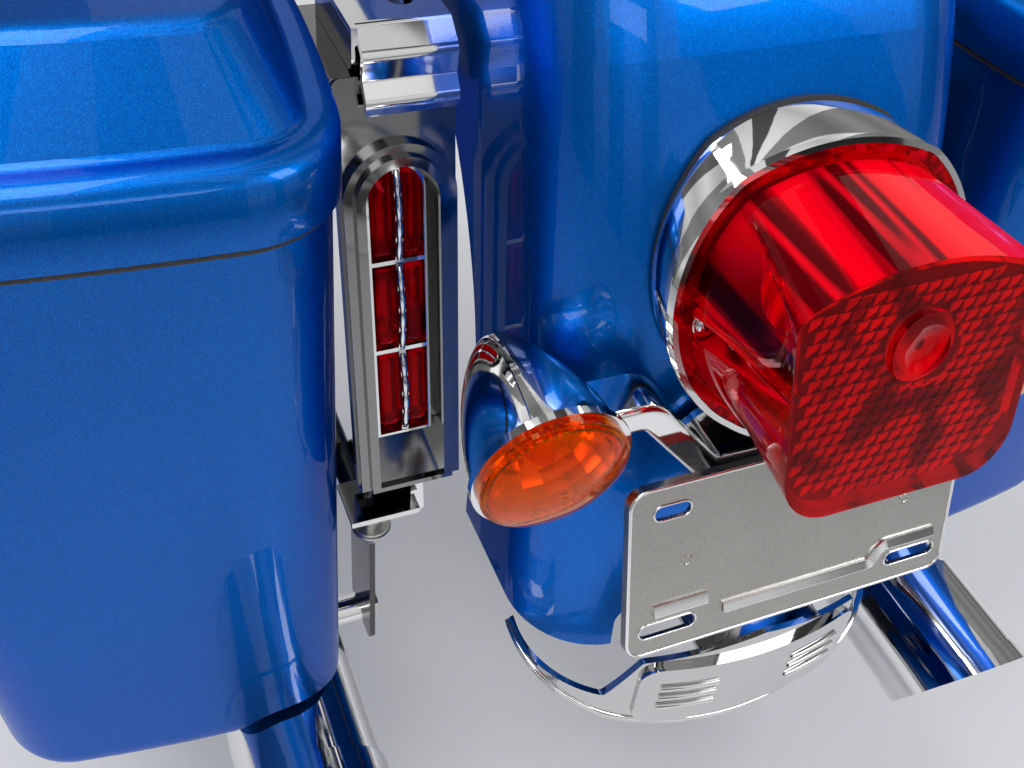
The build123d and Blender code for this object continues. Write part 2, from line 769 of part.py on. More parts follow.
def bag_tub(inset, top_z):
    """Tapered body of the bag with its floor edge rounded and the muffler notch."""
    tub = loft([bag_section(bag_floor_z + inset, inset, 1.0), bag_section(top_z, inset, 0.0)])
    floor_edges = tub.edges().group_by(Axis.Z)[0]
    tub = fillet(floor_edges, bag_floor_fillet - inset)
    notch_start = (muffler_x, bag_rear_y - 60, muffler_z)
    notch_end = (muffler_x, bag_front_y + 60, muffler_z)
    return tub - rod(notch_start, notch_end, muffler_r + notch_clearance + inset)


def make_bag_body():
    neck = extrude(bag_section(neck_low_z, neck_inset, 0.0), neck_top_z - neck_low_z)
    outer = bag_tub(0.0, neck_low_z) + neck
    inner = bag_tub(bag_wall, neck_low_z - bag_wall)
    mouth = extrude(bag_section(neck_low_z - bag_wall - 1.0, neck_inset + bag_wall, 0.0), 60.0)
    return outer - inner - mouth


def lid_form(inset):
    """Rim band with a raised dome, moved inwards by the inset."""
    rim = extrude(bag_section(lid_low_z, inset - lid_overhang, 0.0), rim_top_z - inset - lid_low_z)
    rim = fillet(rim.edges().group_by(Axis.Z)[-1], rim_fillet - inset)
    dome = loft([
        bag_section(rim_top_z - rim_fillet, dome_low_inset + inset, 0.0, dome_corner_r),
        bag_section(dome_top_z - inset, dome_high_inset + inset, 0.0, dome_corner_r - 8.0),
    ])
    dome = fillet(dome.edges().group_by(Axis.Z)[-1], dome_fillet - inset)
    form = rim + dome
    ledge = form.faces().filter_by(Plane.XY).filter_by(
        lambda f: abs(f.center().Z - rim_top_z + inset) < 0.01)[0]
    return fillet(ledge.inner_wires()[0].edges(), cove_r + inset)


def make_bag_lid():
    skirt_drop = 5.0
    shell = lid_form(0.0) - lid_form(lid_wall)
    shell -= extrude(bag_section(lid_low_z - skirt_drop, lid_wall - lid_overhang, 0.0), skirt_drop + 1.0)
    seat_low = neck_top_z + seat_gap
    seat = extrude(bag_section(seat_low, neck_inset, 0.0), rim_top_z - lid_wall + 0.5 - seat_low)
    seat -= extrude(bag_section(seat_low - 1, neck_inset + bag_wall, 0.0), 60.0)
    return shell + seat


pivot_x = bag_outer_x - lid_overhang - hinge_out
pivot_z = lid_low_z - hinge_drop


def hinge_rod(y0, y1, radius):
    """Round piece on the lid hinge's line."""
    return rod((pivot_x, y0, pivot_z), (pivot_x, y1, pivot_z), radius)


def make_bag_hinge():
    """Body leaves with their outer knuckles and pins."""
    solids = []
    third = hinge_length / 3
    for y in hinge_y:
        low = y - hinge_length / 2
        high = y + hinge_length / 2
        shape = hinge_rod(low, high, hinge_pin_r)
        shape += block(bag_outer_x - 3.0, bag_outer_x + 10.0, low, high, pivot_z - 38.0, pivot_z - 1.5)
        for y0, y1 in ((low, low + third - 0.4), (high - third + 0.4, high)):
            shape += hinge_rod(y0, y1, hinge_knuckle_r)
            shape += block(pivot_x, bag_outer_x, y0, y1, pivot_z - hinge_knuckle_r, pivot_z - 1.5)
        shape -= bag_tub(0.0, neck_low_z)
        solids += shape.solids()
    return Compound(children=solids)


def make_lid_hinge():
    """Lid leaves with the middle knuckles."""
    solids = []
    third = hinge_length / 3
    face_x = bag_outer_x - lid_overhang
    for y in hinge_y:
        y0 = y - third / 2 + 0.4
        y1 = y + third / 2 - 0.4
        leaf = block(face_x - 2.5, face_x, y - hinge_length / 2, y + hinge_length / 2,
                     lid_low_z + 2.0, lid_low_z + 26.0)
        arm = block(pivot_x, face_x, y0, y1, pivot_z + 1.0, lid_low_z + 4.0)
        arm -= block(face_x - 2.6, face_x + 1, y0 - 1, y1 + 1, pivot_z, lid_low_z + 0.5)
        shape = leaf + arm + hinge_rod(y0, y1, hinge_knuckle_r)
        shape -= hinge_rod(y - hinge_length, y + hinge_length, hinge_pin_r + 0.1)
        solids += shape.solids()
    return Compound(children=solids)


def make_bag_latch():
    """Pull latch on the inboard wall near the front, below the lid's rim."""
    y = -170.0
    face_x = bag_inner_x
    plate = block(face_x - 8.0, face_x + 3.0, y - 34.0, y + 34.0, neck_low_z - 52.0, neck_low_z - 6.0)
    lever = block(face_x, face_x + 9.0, y - 24.0, y + 24.0, neck_low_z - 44.0, neck_low_z - 12.0)
    lever = fillet(lever.edges().filter_by(Axis.X), 6.0)
    return plate + lever - bag_tub(0.0, neck_low_z)


# Bag brackets and rails

def make_bag_bracket():
    """Rear leg behind the filler panel, with the shelf for the rail, and the front leg."""
    back_w = -recess_depth - filler_back - seat_gap
    low_v = (rail_z - filler_centre[2]) / math.cos(math.radians(filler_tilt))
    top_v = (arm_top_z - filler_centre[2]) / math.cos(math.radians(filler_tilt))
    rear = extrude(
        filler * Pos(0, (low_v + top_v) / 2, back_w) * Rectangle(leg_width, top_v - low_v), -leg_thickness)
    shelf_top = rail_z + rail_r + shelf_rise
    shelf_inner = leg_x + shelf_inner_reach
    shelf = block(leg_x - shelf_outer_reach, shelf_inner, shelf_rear_y, shelf_rear_y + shelf_depth,
                  shelf_top - shelf_thickness, shelf_top)
    flange = block(shelf_inner - shelf_thickness, shelf_inner,
                   shelf_rear_y + 6.0, shelf_rear_y + shelf_depth, shelf_top, shelf_top + shelf_flange)
    front = block(leg_x - leg_width / 2, leg_x + leg_width / 2, front_leg_y, front_leg_y + leg_thickness,
                  rail_z - rail_r, arm_top_z)
    tube = rod((rail_x, rail_rear_y - 5, rail_z), (rail_x, rail_front_y + 5, rail_z), rail_r)
    return (rear - tube) + shelf + flange, front - tube


def make_bag_rail():
    """Tube along the bag's inboard wall, with the pads that the bag is fastened to."""
    tube = rod((rail_x, rail_rear_y, rail_z), (rail_x, rail_front_y, rail_z), rail_r)
    for y in cradle_y:
        tube += block(bag_inner_x - bag_taper_inner - 2.0, rail_x, y - cradle_width / 2, y + cradle_width / 2,
                      rail_z - cradle_height / 2, rail_z + cradle_height / 2)
    return tube - bag_tub(-seat_gap, neck_low_z)


def make_muffler_hanger():
    plates = []
    top_z = rail_z + rail_r
    low_z = muffler_z - 14.0
    sheet = RectangleRounded(hanger_width, top_z - low_z, 8.0)
    for y in hanger_y:
        place = Plane(origin=(rail_x + rail_r, y, (top_z + low_z) / 2), x_dir=(0, 1, 0), z_dir=(1, 0, 0))
        plates += extrude(place * sheet, 4.0).solids()
    return Compound(children=plates)


# Mufflers

def make_muffler():
    rear = muffler_rear_y
    front = muffler_front_y
    cone = front + muffler_cone_length
    inlet_r = inlet_bore_r + inlet_wall
    outline = make_face(Polyline(
        (rear, 0), (rear, muffler_r), (front, muffler_r), (cone, inlet_r),
        (cone + inlet_length, inlet_r), (cone + inlet_length, 0), (rear, 0)))
    side = Plane(origin=(muffler_x, 0, muffler_z), x_dir=(0, 1, 0), z_dir=(1, 0, 0))
    can = revolve(side * outline, Axis((muffler_x, 0, muffler_z), (0, 1, 0)))
    can -= rod((muffler_x, cone, muffler_z), (muffler_x, cone + inlet_length + 1, muffler_z), inlet_bore_r)
    can -= rod((muffler_x, rear - 1, muffler_z), (muffler_x, rear + 60, muffler_z), outlet_r)
    for y in hanger_y:
        can += rod((muffler_x + 30.0, y, muffler_z), (rail_x + rail_r, y, muffler_z), 11.0)
    return can


def make_muffler_tip():
    """Sleeve with a turned down slash cut and a proud band along the cut."""
    front = muffler_rear_y + tip_seat_length
    end_y = muffler_rear_y - tip_overhang
    bore_r = muffler_r + seat_gap
    lean = math.radians(tip_cut_angle)
    cut = Plane(origin=(muffler_x, end_y, muffler_z), x_dir=(1, 0, 0),
                z_dir=(0, -math.cos(lean), -math.sin(lean)))
    beyond = extrude(cut * Rectangle(6 * muffler_r, 6 * muffler_r), 3 * muffler_r)
    band_zone = extrude(cut * Rectangle(6 * muffler_r, 6 * muffler_r), -tip_band_width)
    far = end_y - muffler_r
    sleeve = rod((muffler_x, far, muffler_z), (muffler_x, front, muffler_z), bore_r + tip_wall)
    band = rod((muffler_x, far, muffler_z), (muffler_x, front, muffler_z), bore_r + tip_wall + tip_band_rise)
    bore = rod((muffler_x, far - 1, muffler_z), (muffler_x, front + 1, muffler_z), bore_r)
    return (sleeve - beyond) + (band & band_zone) - bore


save("subframe", make_subframe())
save("fender", make_fender())
save("fender_bumper", make_bumper())
save("tail_lamp_bezel", make_bezel())
save("tail_lamp_gasket", make_gasket())
save("tail_lamp_reflector", make_reflector())
save("tail_lamp_bulb", make_bulb())
save("tail_lamp_lens", make_lens())
save("signal_bar", make_signal_bar())
pair("signal_housing", make_signal_housing())
pair("signal_lens", make_signal_lens())
save("plate_bracket", make_plate_bracket())
pair("filler_panel", make_filler_panel())
pair("filler_lens", make_filler_lens())
pair("filler_grille", make_filler_grille())
pair("docking_bracket", make_docking_bracket())
pair("bag_body", make_bag_body())
pair("bag_lid", make_bag_lid())
pair("bag_hinge", make_bag_hinge())
pair("lid_hinge", make_lid_hinge())
pair("bag_latch", make_bag_latch())
rear_leg, front_leg = make_bag_bracket()
pair("bag_bracket", Compound(children=[*rear_leg.solids(), *front_leg.solids()]))
pair("bag_rail", make_bag_rail())
pair("muffler", make_muffler())
pair("muffler_tip", make_muffler_tip())
pair("muffler_hanger", make_muffler_hanger())
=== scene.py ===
import json
import math

import bmesh
import bpy
import mathutils.geometry
from mathutils import Matrix, Vector


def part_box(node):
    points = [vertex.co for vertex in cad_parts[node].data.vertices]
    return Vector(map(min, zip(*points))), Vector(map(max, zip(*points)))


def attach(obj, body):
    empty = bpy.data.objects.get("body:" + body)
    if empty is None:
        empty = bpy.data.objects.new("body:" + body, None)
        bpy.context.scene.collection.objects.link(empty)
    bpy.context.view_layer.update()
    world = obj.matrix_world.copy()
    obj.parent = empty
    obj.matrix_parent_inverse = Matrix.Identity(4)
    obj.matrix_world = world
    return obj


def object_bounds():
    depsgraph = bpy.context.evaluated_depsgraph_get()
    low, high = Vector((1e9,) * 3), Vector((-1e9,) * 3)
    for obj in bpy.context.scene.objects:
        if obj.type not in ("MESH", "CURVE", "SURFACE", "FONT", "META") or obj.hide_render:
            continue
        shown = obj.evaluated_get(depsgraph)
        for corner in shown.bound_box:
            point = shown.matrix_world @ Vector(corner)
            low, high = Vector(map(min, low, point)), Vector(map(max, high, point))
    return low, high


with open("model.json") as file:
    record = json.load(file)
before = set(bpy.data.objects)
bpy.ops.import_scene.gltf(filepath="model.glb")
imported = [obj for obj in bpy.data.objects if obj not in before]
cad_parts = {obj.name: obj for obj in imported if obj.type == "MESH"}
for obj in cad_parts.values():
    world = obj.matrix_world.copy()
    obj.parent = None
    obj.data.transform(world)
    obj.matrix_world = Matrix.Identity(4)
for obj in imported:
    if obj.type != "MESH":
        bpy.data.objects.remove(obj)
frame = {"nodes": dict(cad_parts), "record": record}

# Looks of a touring motorcycle's tail section.
# Lengths named here are in millimetres unless they say otherwise. Blender works in metres.

MM = 0.001
cad_box = [list(corner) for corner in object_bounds()]
nodes = frame["nodes"]
SIDES = (("left", -1), ("right", 1))

# Camera, in metres and pixels of a 1024 wide frame
CAMERA_PLACE = (-0.30365, -0.95453, 0.27183)
CAMERA_RIGHT = (0.92494, -0.37150, 0.08045)
CAMERA_UP = (0.20183, 0.65935, 0.72424)
FOCAL_PIXELS = 1157.0
FRAME_WIDTH = 1024.0
SENSOR_WIDTH = 36.0

# Floor
FLOOR_DROP = 200.0
FLOOR_SIZE = 9000.0
FLOOR_NEAR = 1300.0
FLOOR_FAR = 2500.0

# Tail lamp, as in the solids
LAMP_CENTRE = (0.0, -636.0, -38.0)
LAMP_TILT = 14.0
LAMP_OUT = (0.0, -math.cos(math.radians(LAMP_TILT)), math.sin(math.radians(LAMP_TILT)))
FLANGE_THICKNESS = 5.0
BEZEL_DEPTH = 34.0
BEZEL_ROLL_BACK = 0.10
BEZEL_ROLL_FRONT = 0.55
LENS_DEPTH = 70.0
LENS_WALL = 3.0
SCREW_U = 61.5
SCREW_V = -7.0
BOSS_U = 1.0
BOSS_R = 17.0
BOSS_CLEARANCE = 1.5
FACE_HALF = 62.0
FACE_TOP = 38.0
FACE_BOTTOM = -73.0
FACE_TAPER = 0.05
FACE_CROWN = 0.0037
FACE_CORNER_R = 20.0
PRISM_PITCH_U = 6.4
PRISM_PITCH_V = 5.6
PRISM_INSET = 0.2
PRISM_RISE = 2.4
PRISM_BACK = 0.8
PRISM_BORDER = 8.0
PAINTED_SHADE_BORDER = 5.0
SIDE_CLEARNESS = 0.85
FACE_CLEARNESS = 0.97

# Turn signals, as in the solids
SIGNAL_PLACE = (-129.5, -651.0, -106.0)
SIGNAL_TILT = -6.0
SIGNAL_R = 36.5
SIGNAL_WALL = 2.5
SIGNAL_LENGTH = 84.0
SIGNAL_FLUTES = 42
FLUTE_INSET = 6.5
FLUTE_DEPTH = 1.2

# Filler panels, as in the solids
FILLER_Y = -499.0
FILLER_Z = -141.0
FILLER_TILT = 8.8
FILLER_LOW = -74.0
FILLER_HIGH = 92.0
FILLER_ROWS = 3
ROD_INSET = 2.0
ROD_HEIGHT = -3.2
ROD_BOW = 3.5
ROD_R = 1.5
ROD_SWELL = 0.9
ROD_BEADS = 4
ROD_STEPS = 40

# Plate bracket, as in the solids
PLATE_CENTRE = (0.0, -679.0, -166.5)
PLATE_TILT = 15.8
PLATE_WIDTH = 192.0
PLATE_HEIGHT = 99.0
PLATE_CORNER_R = 9.0
SLOT_U = 73.0
SLOT_V = 34.5
TOP_SLOT = 19.0
LOW_SLOT = 31.0
SLOT_WIDTH = 7.5
PLATE_EDGE_R = 0.9
SLOT_LIP_R = 0.55
SLOT_LIP_GAP = 0.5
RIB_HEIGHT = 2.7
RIB_BEND_R = 5.0
LONG_RIB_HALF = 2.9
RIB_V = -32.5
RIB_STEP_V = -23.0
SHORT_RIB_HALF = 3.4
SHORT_RIB_V = -22.5
SHORT_RIB_U = (-81.5, -80.0, -66.0, -53.0, -51.5)
DIMPLE_U = 64.0
DIMPLE_V = 3.0

# Bumper, as in the solids
BUMPER_HALF = 117.0
BUMPER_Y = -682.0
BUMPER_BOW = 12.0
BUMPER_WALL = 3.5
BUMPER_LOW_Z = -326.0
BUMPER_BEAD_Z = 5.0
BUMPER_BEAD_R = 1.5
WING_Z = -300.0
WING_Y = -600.0
WING_INSET = 4.0
WING_STEPS = 16
PANEL_HALF = 72.0
PANEL_Z = -287.0
PANEL_PROUD = 5.2
LOUVRE_PITCH = 9.0
BAR_X = range(24, 59, 3)
BAR_R = 1.9

# Bags, brackets and mufflers, as in the solids
SHELF_BOLT = (-174.0, -521.0, -266.0)
SHELF_SPACER = 8.0
HANGER_X = -160.0
HANGER_Y = (-460.0, -240.0)
RAIL_Z = -292.0
MUFFLER_X = -232.0
MUFFLER_Z = -444.0
INLET_Y = 72.0
INLET_R = 25.0
CLAMP_LUG_DROP = 7.0
CLAMP_LUG_W = 7.0
LEAF_FACES = {"bag": 429.0, "lid": 432.5}
LID_BAND = (-19.0, 20.0)
# Dark line under each lid's lower edge: painted shadow
SHADOW_LINE_INSET = 2.7
SHADOW_LINE_R = 1.9
SHADOW_LINE_GAP = 0.3
RIVET_R = 3.4
RIVET_PITCH = 20.0
RIVET_MARGIN = 30.0

# What plated and clear parts mirror, as brightness over a direction's height and over its bearing in radians
MIRRORED_HEIGHTS = (
    (-1.0, 0.20), (-0.05, 0.26), (0.0, 0.45), (0.10, 0.80), (0.22, 0.55),
    (0.36, 0.85), (0.52, 0.62), (0.66, 0.95), (0.80, 0.55), (1.0, 1.0),
)
MIRRORED_CARDS = (
    (-3.14, 0.9), (-2.90, 0.15), (-2.55, 1.0), (-2.30, 0.10), (-2.05, 0.75), (-1.75, 0.25),
    (-1.45, 1.0), (-1.20, 0.85), (-1.04, 0.08), (-0.90, 0.8), (-0.60, 0.12), (-0.20, 1.0),
    (0.15, 0.30), (0.50, 0.95), (0.85, 0.10), (1.20, 0.85), (1.50, 0.30), (1.85, 1.0),
    (2.20, 0.15), (2.60, 0.8), (2.85, 0.3), (3.14, 0.9),
)


# Small geometry helpers

def carry(piece, body, material):
    """Put a piece on its body, with its material."""
    piece.data.materials.append(material)
    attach(piece, body)


def new_piece(name, points, faces):
    """Mesh object from points in millimetres."""
    mesh = bpy.data.meshes.new(name)
    mesh.from_pydata([Vector(p) * MM for p in points], [], faces)
    work = bmesh.new()
    work.from_mesh(mesh)
    bmesh.ops.remove_doubles(work, verts=work.verts, dist=0.001 * MM)
    bmesh.ops.recalc_face_normals(work, faces=work.faces)
    work.to_mesh(mesh)
    work.free()
    mesh.validate()
    piece = bpy.data.objects.new(name, mesh)
    bpy.context.scene.collection.objects.link(piece)
    return piece


def smooth_by_angle(obj, degrees):
    """Rounded shading on the flatter joins of a solid, crisp on its corners."""
    for face in obj.data.polygons:
        face.use_smooth = True
    obj.data.set_sharp_from_angle(angle=math.radians(degrees))


class Seat:
    """A local frame: w points outwards, u across it and v completes them."""

    def __init__(self, origin, out, across=(1, 0, 0)):
        self.origin = Vector(origin)
        self.w = Vector(out).normalized()
        across = Vector(across)
        self.u = (across - self.w * across.dot(self.w)).normalized()
        self.v = self.w.cross(self.u)

    def at(self, u, v, w=0.0):
        return self.origin + self.u * u + self.v * v + self.w * w


def leaning(origin, tilt):
    """Seat on a plane that faces rearward and up by the tilt."""
    lean = math.radians(tilt)
    return Seat(origin, (0, -math.cos(lean), math.sin(lean)))


def sided(place, side):
    """A left side's place, mirrored for the right side."""
    return (place[0] * -side, place[1], place[2])


class Shape:
    """Points and faces of one piece, gathered form by form."""

    def __init__(self):
        self.points = []
        self.faces = []

    def skin(self, rings, closed=False):
        """Skin over rings of equally many points, with ends capped unless closed."""
        start = len(self.points)
        count = len(rings[0])
        for ring in rings:
            self.points.extend(ring)
        for step in range(len(rings) if closed else len(rings) - 1):
            near = start + step * count
            far = start + (step + 1) % len(rings) * count
            for i in range(count):
                j = (i + 1) % count
                self.faces.append((near + i, near + j, far + j, far + i))
        if not closed:
            self.faces.append(tuple(range(start, start + count)))
            self.faces.append(tuple(range(start + (len(rings) - 1) * count, start + len(rings) * count)))
        return self

    def turned(self, seat, profile, sides=40, phase=0.0, closed=False):
        """Form turned about the seat's axis from (radius, height) pairs."""
        turns = [phase + 2 * math.pi * i / sides for i in range(sides)]
        rings = [[seat.at(r * math.cos(a), r * math.sin(a), w) for a in turns] for r, w in profile]
        return self.skin(rings, closed)

    def make(self, name, material, body="tail", crease=35.0):
        piece = new_piece(name, self.points, self.faces)
        smooth_by_angle(piece, crease)
        carry(piece, body, material)


def bead(name, path, radius, material, body="tail", closed=False):
    """Round bead along a path."""
    data = bpy.data.curves.new(name, "CURVE")
    data.dimensions = "3D"
    data.bevel_depth = radius * MM
    data.bevel_resolution = 3
    data.use_fill_caps = True
    spline = data.splines.new("POLY")
    spline.points.add(len(path) - 1)
    for point, place in zip(spline.points, path):
        point.co = (*(Vector(place) * MM), 1.0)
    spline.use_cyclic_u = closed
    piece = bpy.data.objects.new(name, data)
    bpy.context.scene.collection.objects.link(piece)
    carry(piece, body, material)


def ridge(name, seat, path, half_width, height, material):
    """Pressed ridge along a path on a seat's plane, steep on its low side and leaning on its high side."""
    section = ((-1.0, 0.0), (-0.96, 0.60), (-0.84, 0.92), (-0.66, 1.0),
               (0.0, 0.76), (0.66, 0.53), (0.92, 0.46), (1.0, 0.0))
    rings = []
    for i, (u, v) in enumerate(path):
        before = Vector(path[max(i - 1, 0)])
        after = Vector(path[min(i + 1, len(path) - 1)])
        along = (after - before).normalized()
        side = Vector((-along.y, along.x))
        rings.append([
            seat.at(u + side.x * half_width * s, v + side.y * half_width * s, height * h)
            for s, h in section])
    Shape().skin(rings).make(name, material)


def arc_points(centre_u, centre_v, radius, start, end, steps):
    """Points of an arc in a plane, angles in degrees."""
    turns = [math.radians(start + (end - start) * i / steps) for i in range(steps + 1)]
    return [(centre_u + radius * math.cos(a), centre_v + radius * math.sin(a)) for a in turns]


def rounded_outline(half_u, half_v, radius, centre=(0.0, 0.0), steps=8):
    """Closed outline of a rectangle with round corners."""
    u, v = centre
    outline = []
    for sign_u, sign_v, start in ((1, 1, 0), (-1, 1, 90), (-1, -1, 180), (1, -1, 270)):
        corner_u = u + sign_u * (half_u - radius)
        corner_v = v + sign_v * (half_v - radius)
        outline += arc_points(corner_u, corner_v, radius, start, start + 90, steps)
    return outline


# Materials

class Nodes:
    """Short way to write a node material."""

    def __init__(self, name):
        self.material = bpy.data.materials.new(name)
        self.material.use_nodes = True
        self.tree = self.material.node_tree
        self.shader = self.tree.nodes["Principled BSDF"]

    def add(self, kind, **values):
        node = self.tree.nodes.new(kind)
        for key, value in values.items():
            setattr(node, key, value)
        return node

    def link(self, source, target):
        self.tree.links.new(source, target)

    def place(self):
        return self.add("ShaderNodeTexCoord").outputs["Object"]

    def noise(self, scale, detail=2.0, roughness=0.5):
        node = self.add("ShaderNodeTexNoise")
        node.inputs["Scale"].default_value = scale
        node.inputs["Detail"].default_value = detail
        node.inputs["Roughness"].default_value = roughness
        self.link(self.place(), node.inputs["Vector"])
        return node

    def ramp(self, source, stops):
        node = self.add("ShaderNodeValToRGB")
        elements = node.color_ramp.elements
        while len(elements) < len(stops):
            elements.new(0.5)
        for element, (position, colour) in zip(elements, stops):
            element.position = position
            element.color = (*colour, 1.0)
        self.link(source, node.inputs["Fac"])
        return node.outputs["Color"]

    def bump(self, height, strength, distance):
        node = self.add("ShaderNodeBump")
        node.inputs["Strength"].default_value = strength
        node.inputs["Distance"].default_value = distance * MM
        self.link(height, node.inputs["Height"])
        return node.outputs["Normal"]

    def set(self, **values):
        names = {
            "colour": "Base Color", "metal": "Metallic", "rough": "Roughness", "ior": "IOR",
            "clear": "Transmission Weight", "coat": "Coat Weight", "coat_rough": "Coat Roughness",
            "coat_ior": "Coat IOR", "tint": "Specular Tint",
        }
        for key, value in values.items():
            socket = self.shader.inputs[names[key]]
            socket.default_value = (*value, 1.0) if isinstance(value, tuple) else value


def grey(value):
    return (value, value, value)


def tilted_normal(tree, direction, value, low, high, least, most):
    """Surface normal that leans more and more along a direction as a value rises."""
    amount = tree.nodes.new("ShaderNodeMapRange")
    for name, number in (("From Min", low), ("From Max", high), ("To Min", least), ("To Max", most)):
        amount.inputs[name].default_value = number
    tree.links.new(value, amount.inputs["Value"])
    lean = tree.nodes.new("ShaderNodeVectorMath")
    lean.operation = "SCALE"
    lean.inputs[0].default_value = direction
    tree.links.new(amount.outputs["Result"], lean.inputs["Scale"])
    total = tree.nodes.new("ShaderNodeVectorMath")
    total.operation = "ADD"
    tree.links.new(tree.nodes.new("ShaderNodeNewGeometry").outputs["Normal"], total.inputs[0])
    tree.links.new(lean.outputs["Vector"], total.inputs[1])
    unit = tree.nodes.new("ShaderNodeVectorMath")
    unit.operation = "NORMALIZE"
    tree.links.new(total.outputs["Vector"], unit.inputs[0])
    return unit.outputs["Vector"]


def body_paint(name, painted_light_scale, swell=None):
    """Metallic blue under clear lacquer, with fine flakes, on a band that may swell between two heights. Its
    brightness scale makes lighter and darker copies of the one paint: painted light and shade.
    """
    m = Nodes(name)
    m.set(colour=(0.0, 0.12, 0.52), metal=0.95, rough=0.40, coat=0.55, coat_rough=0.02, coat_ior=1.36,
          tint=(0.08, 0.42, 0.90))
    flakes = m.add("ShaderNodeTexVoronoi")
    flakes.inputs["Scale"].default_value = 2600.0
    m.link(m.place(), flakes.inputs["Vector"])
    sparkle = m.ramp(flakes.outputs["Color"], [
        (0.0, (0.0, 0.085, 0.42)), (0.55, (0.0, 0.13, 0.55)), (1.0, (0.0, 0.21, 0.78))])
    cloud = m.noise(6.0, 3.0)
    # Painted light and shade: the whole paint is scaled lighter or darker by the part it goes on.
    tone = m.ramp(cloud.outputs["Fac"], [(0.3, grey(0.90 * painted_light_scale)), (0.7, grey(painted_light_scale))])
    mix = m.add("ShaderNodeMix", data_type="RGBA", blend_type="MULTIPLY")
    mix.inputs["Factor"].default_value = 1.0
    m.link(sparkle, mix.inputs[6])
    m.link(tone, mix.inputs[7])
    m.link(mix.outputs[2], m.shader.inputs["Base Color"])
    tilt = m.add("ShaderNodeBump")
    tilt.inputs["Strength"].default_value = 0.12
    tilt.inputs["Distance"].default_value = 0.05 * MM
    m.link(flakes.outputs["Distance"], tilt.inputs["Height"])
    m.link(tilt.outputs["Normal"], m.shader.inputs["Normal"])
    peel = m.noise(420.0, 1.0)
    orange = m.add("ShaderNodeBump")
    orange.inputs["Strength"].default_value = 0.05
    orange.inputs["Distance"].default_value = 0.08 * MM
    m.link(peel.outputs["Fac"], orange.inputs["Height"])
    m.link(orange.outputs["Normal"], m.shader.inputs["Coat Normal"])
    if swell:
        parts = m.add("ShaderNodeSeparateXYZ")
        m.link(m.place(), parts.inputs[0])
        low, high = swell
        swollen = tilted_normal(m.tree, (0, 0, 1), parts.outputs["Z"], low * MM, high * MM, -0.12, 0.70)
        m.link(swollen, tilt.inputs["Normal"])
        m.link(swollen, orange.inputs["Normal"])
    return m.material


def chrome(name="chrome", bright=0.80, rough=0.045, haze=0.06):
    """Plated steel with faint polishing haze and water spots."""
    m = Nodes(name)
    m.set(colour=grey(bright), metal=1.0, rough=rough)
    spots = m.noise(38.0, 4.0, 0.6)
    rough_map = m.ramp(spots.outputs["Fac"], [
        (0.35, grey(rough)), (0.62, grey(rough + haze * 0.4)), (0.80, grey(rough + haze))])
    m.link(rough_map, m.shader.inputs["Roughness"])
    tone = m.ramp(spots.outputs["Fac"], [(0.3, grey(bright)), (0.8, grey(bright * 0.94))])
    m.link(tone, m.shader.inputs["Base Color"])
    waves = m.noise(9.0, 1.0)
    m.link(m.bump(waves.outputs["Fac"], 0.10, 0.6), m.shader.inputs["Normal"])
    return m.material


def rolled_chrome():
    """Chrome of the lamp's bezel, whose profile rolls over towards the lens."""
    material = chrome("rolled_chrome", 0.82, 0.03, 0.03)
    tree = material.node_tree
    seat = tree.nodes.new("ShaderNodeVectorMath")
    seat.operation = "SUBTRACT"
    tree.links.new(tree.nodes.new("ShaderNodeTexCoord").outputs["Object"], seat.inputs[0])
    seat.inputs[1].default_value = [c * MM for c in LAMP_CENTRE]
    depth = tree.nodes.new("ShaderNodeVectorMath")
    depth.operation = "DOT_PRODUCT"
    tree.links.new(seat.outputs["Vector"], depth.inputs[0])
    depth.inputs[1].default_value = LAMP_OUT
    rolled = tilted_normal(tree, LAMP_OUT, depth.outputs["Value"], -BEZEL_DEPTH * MM, FLANGE_THICKNESS * MM,
                           BEZEL_ROLL_BACK, BEZEL_ROLL_FRONT)
    tree.links.new(rolled, tree.nodes["Principled BSDF"].inputs["Normal"])
    return material


def stainless():
    """Dull plated sheet with fine scuffs, cloudy patches and specks."""
    m = Nodes("stainless")
    m.set(colour=(0.42, 0.41, 0.39), metal=1.0, rough=0.30)
    cloud = m.noise(14.0, 6.0, 0.65)
    rough_map = m.ramp(cloud.outputs["Fac"], [(0.30, grey(0.20)), (0.50, grey(0.30)), (0.72, grey(0.40))])
    m.link(rough_map, m.shader.inputs["Roughness"])
    specks = m.noise(900.0, 2.0, 0.7)
    tone = m.ramp(specks.outputs["Fac"], [
        (0.34, (0.37, 0.36, 0.34)), (0.46, (0.42, 0.41, 0.385)), (0.70, (0.45, 0.44, 0.415))])
    m.link(tone, m.shader.inputs["Base Color"])
    m.link(m.bump(cloud.outputs["Fac"], 0.25, 0.5), m.shader.inputs["Normal"])
    return m.material


def plated_bolt():
    """Zinc plating, soft and a little yellow."""
    m = Nodes("zinc")
    m.set(colour=(0.62, 0.61, 0.57), metal=1.0, rough=0.34)
    patch = m.noise(260.0, 4.0, 0.6)
    tone = m.ramp(patch.outputs["Fac"], [(0.35, (0.50, 0.50, 0.47)), (0.65, (0.70, 0.69, 0.64))])
    m.link(tone, m.shader.inputs["Base Color"])
    m.link(m.bump(patch.outputs["Fac"], 0.2, 0.1), m.shader.inputs["Normal"])
    return m.material


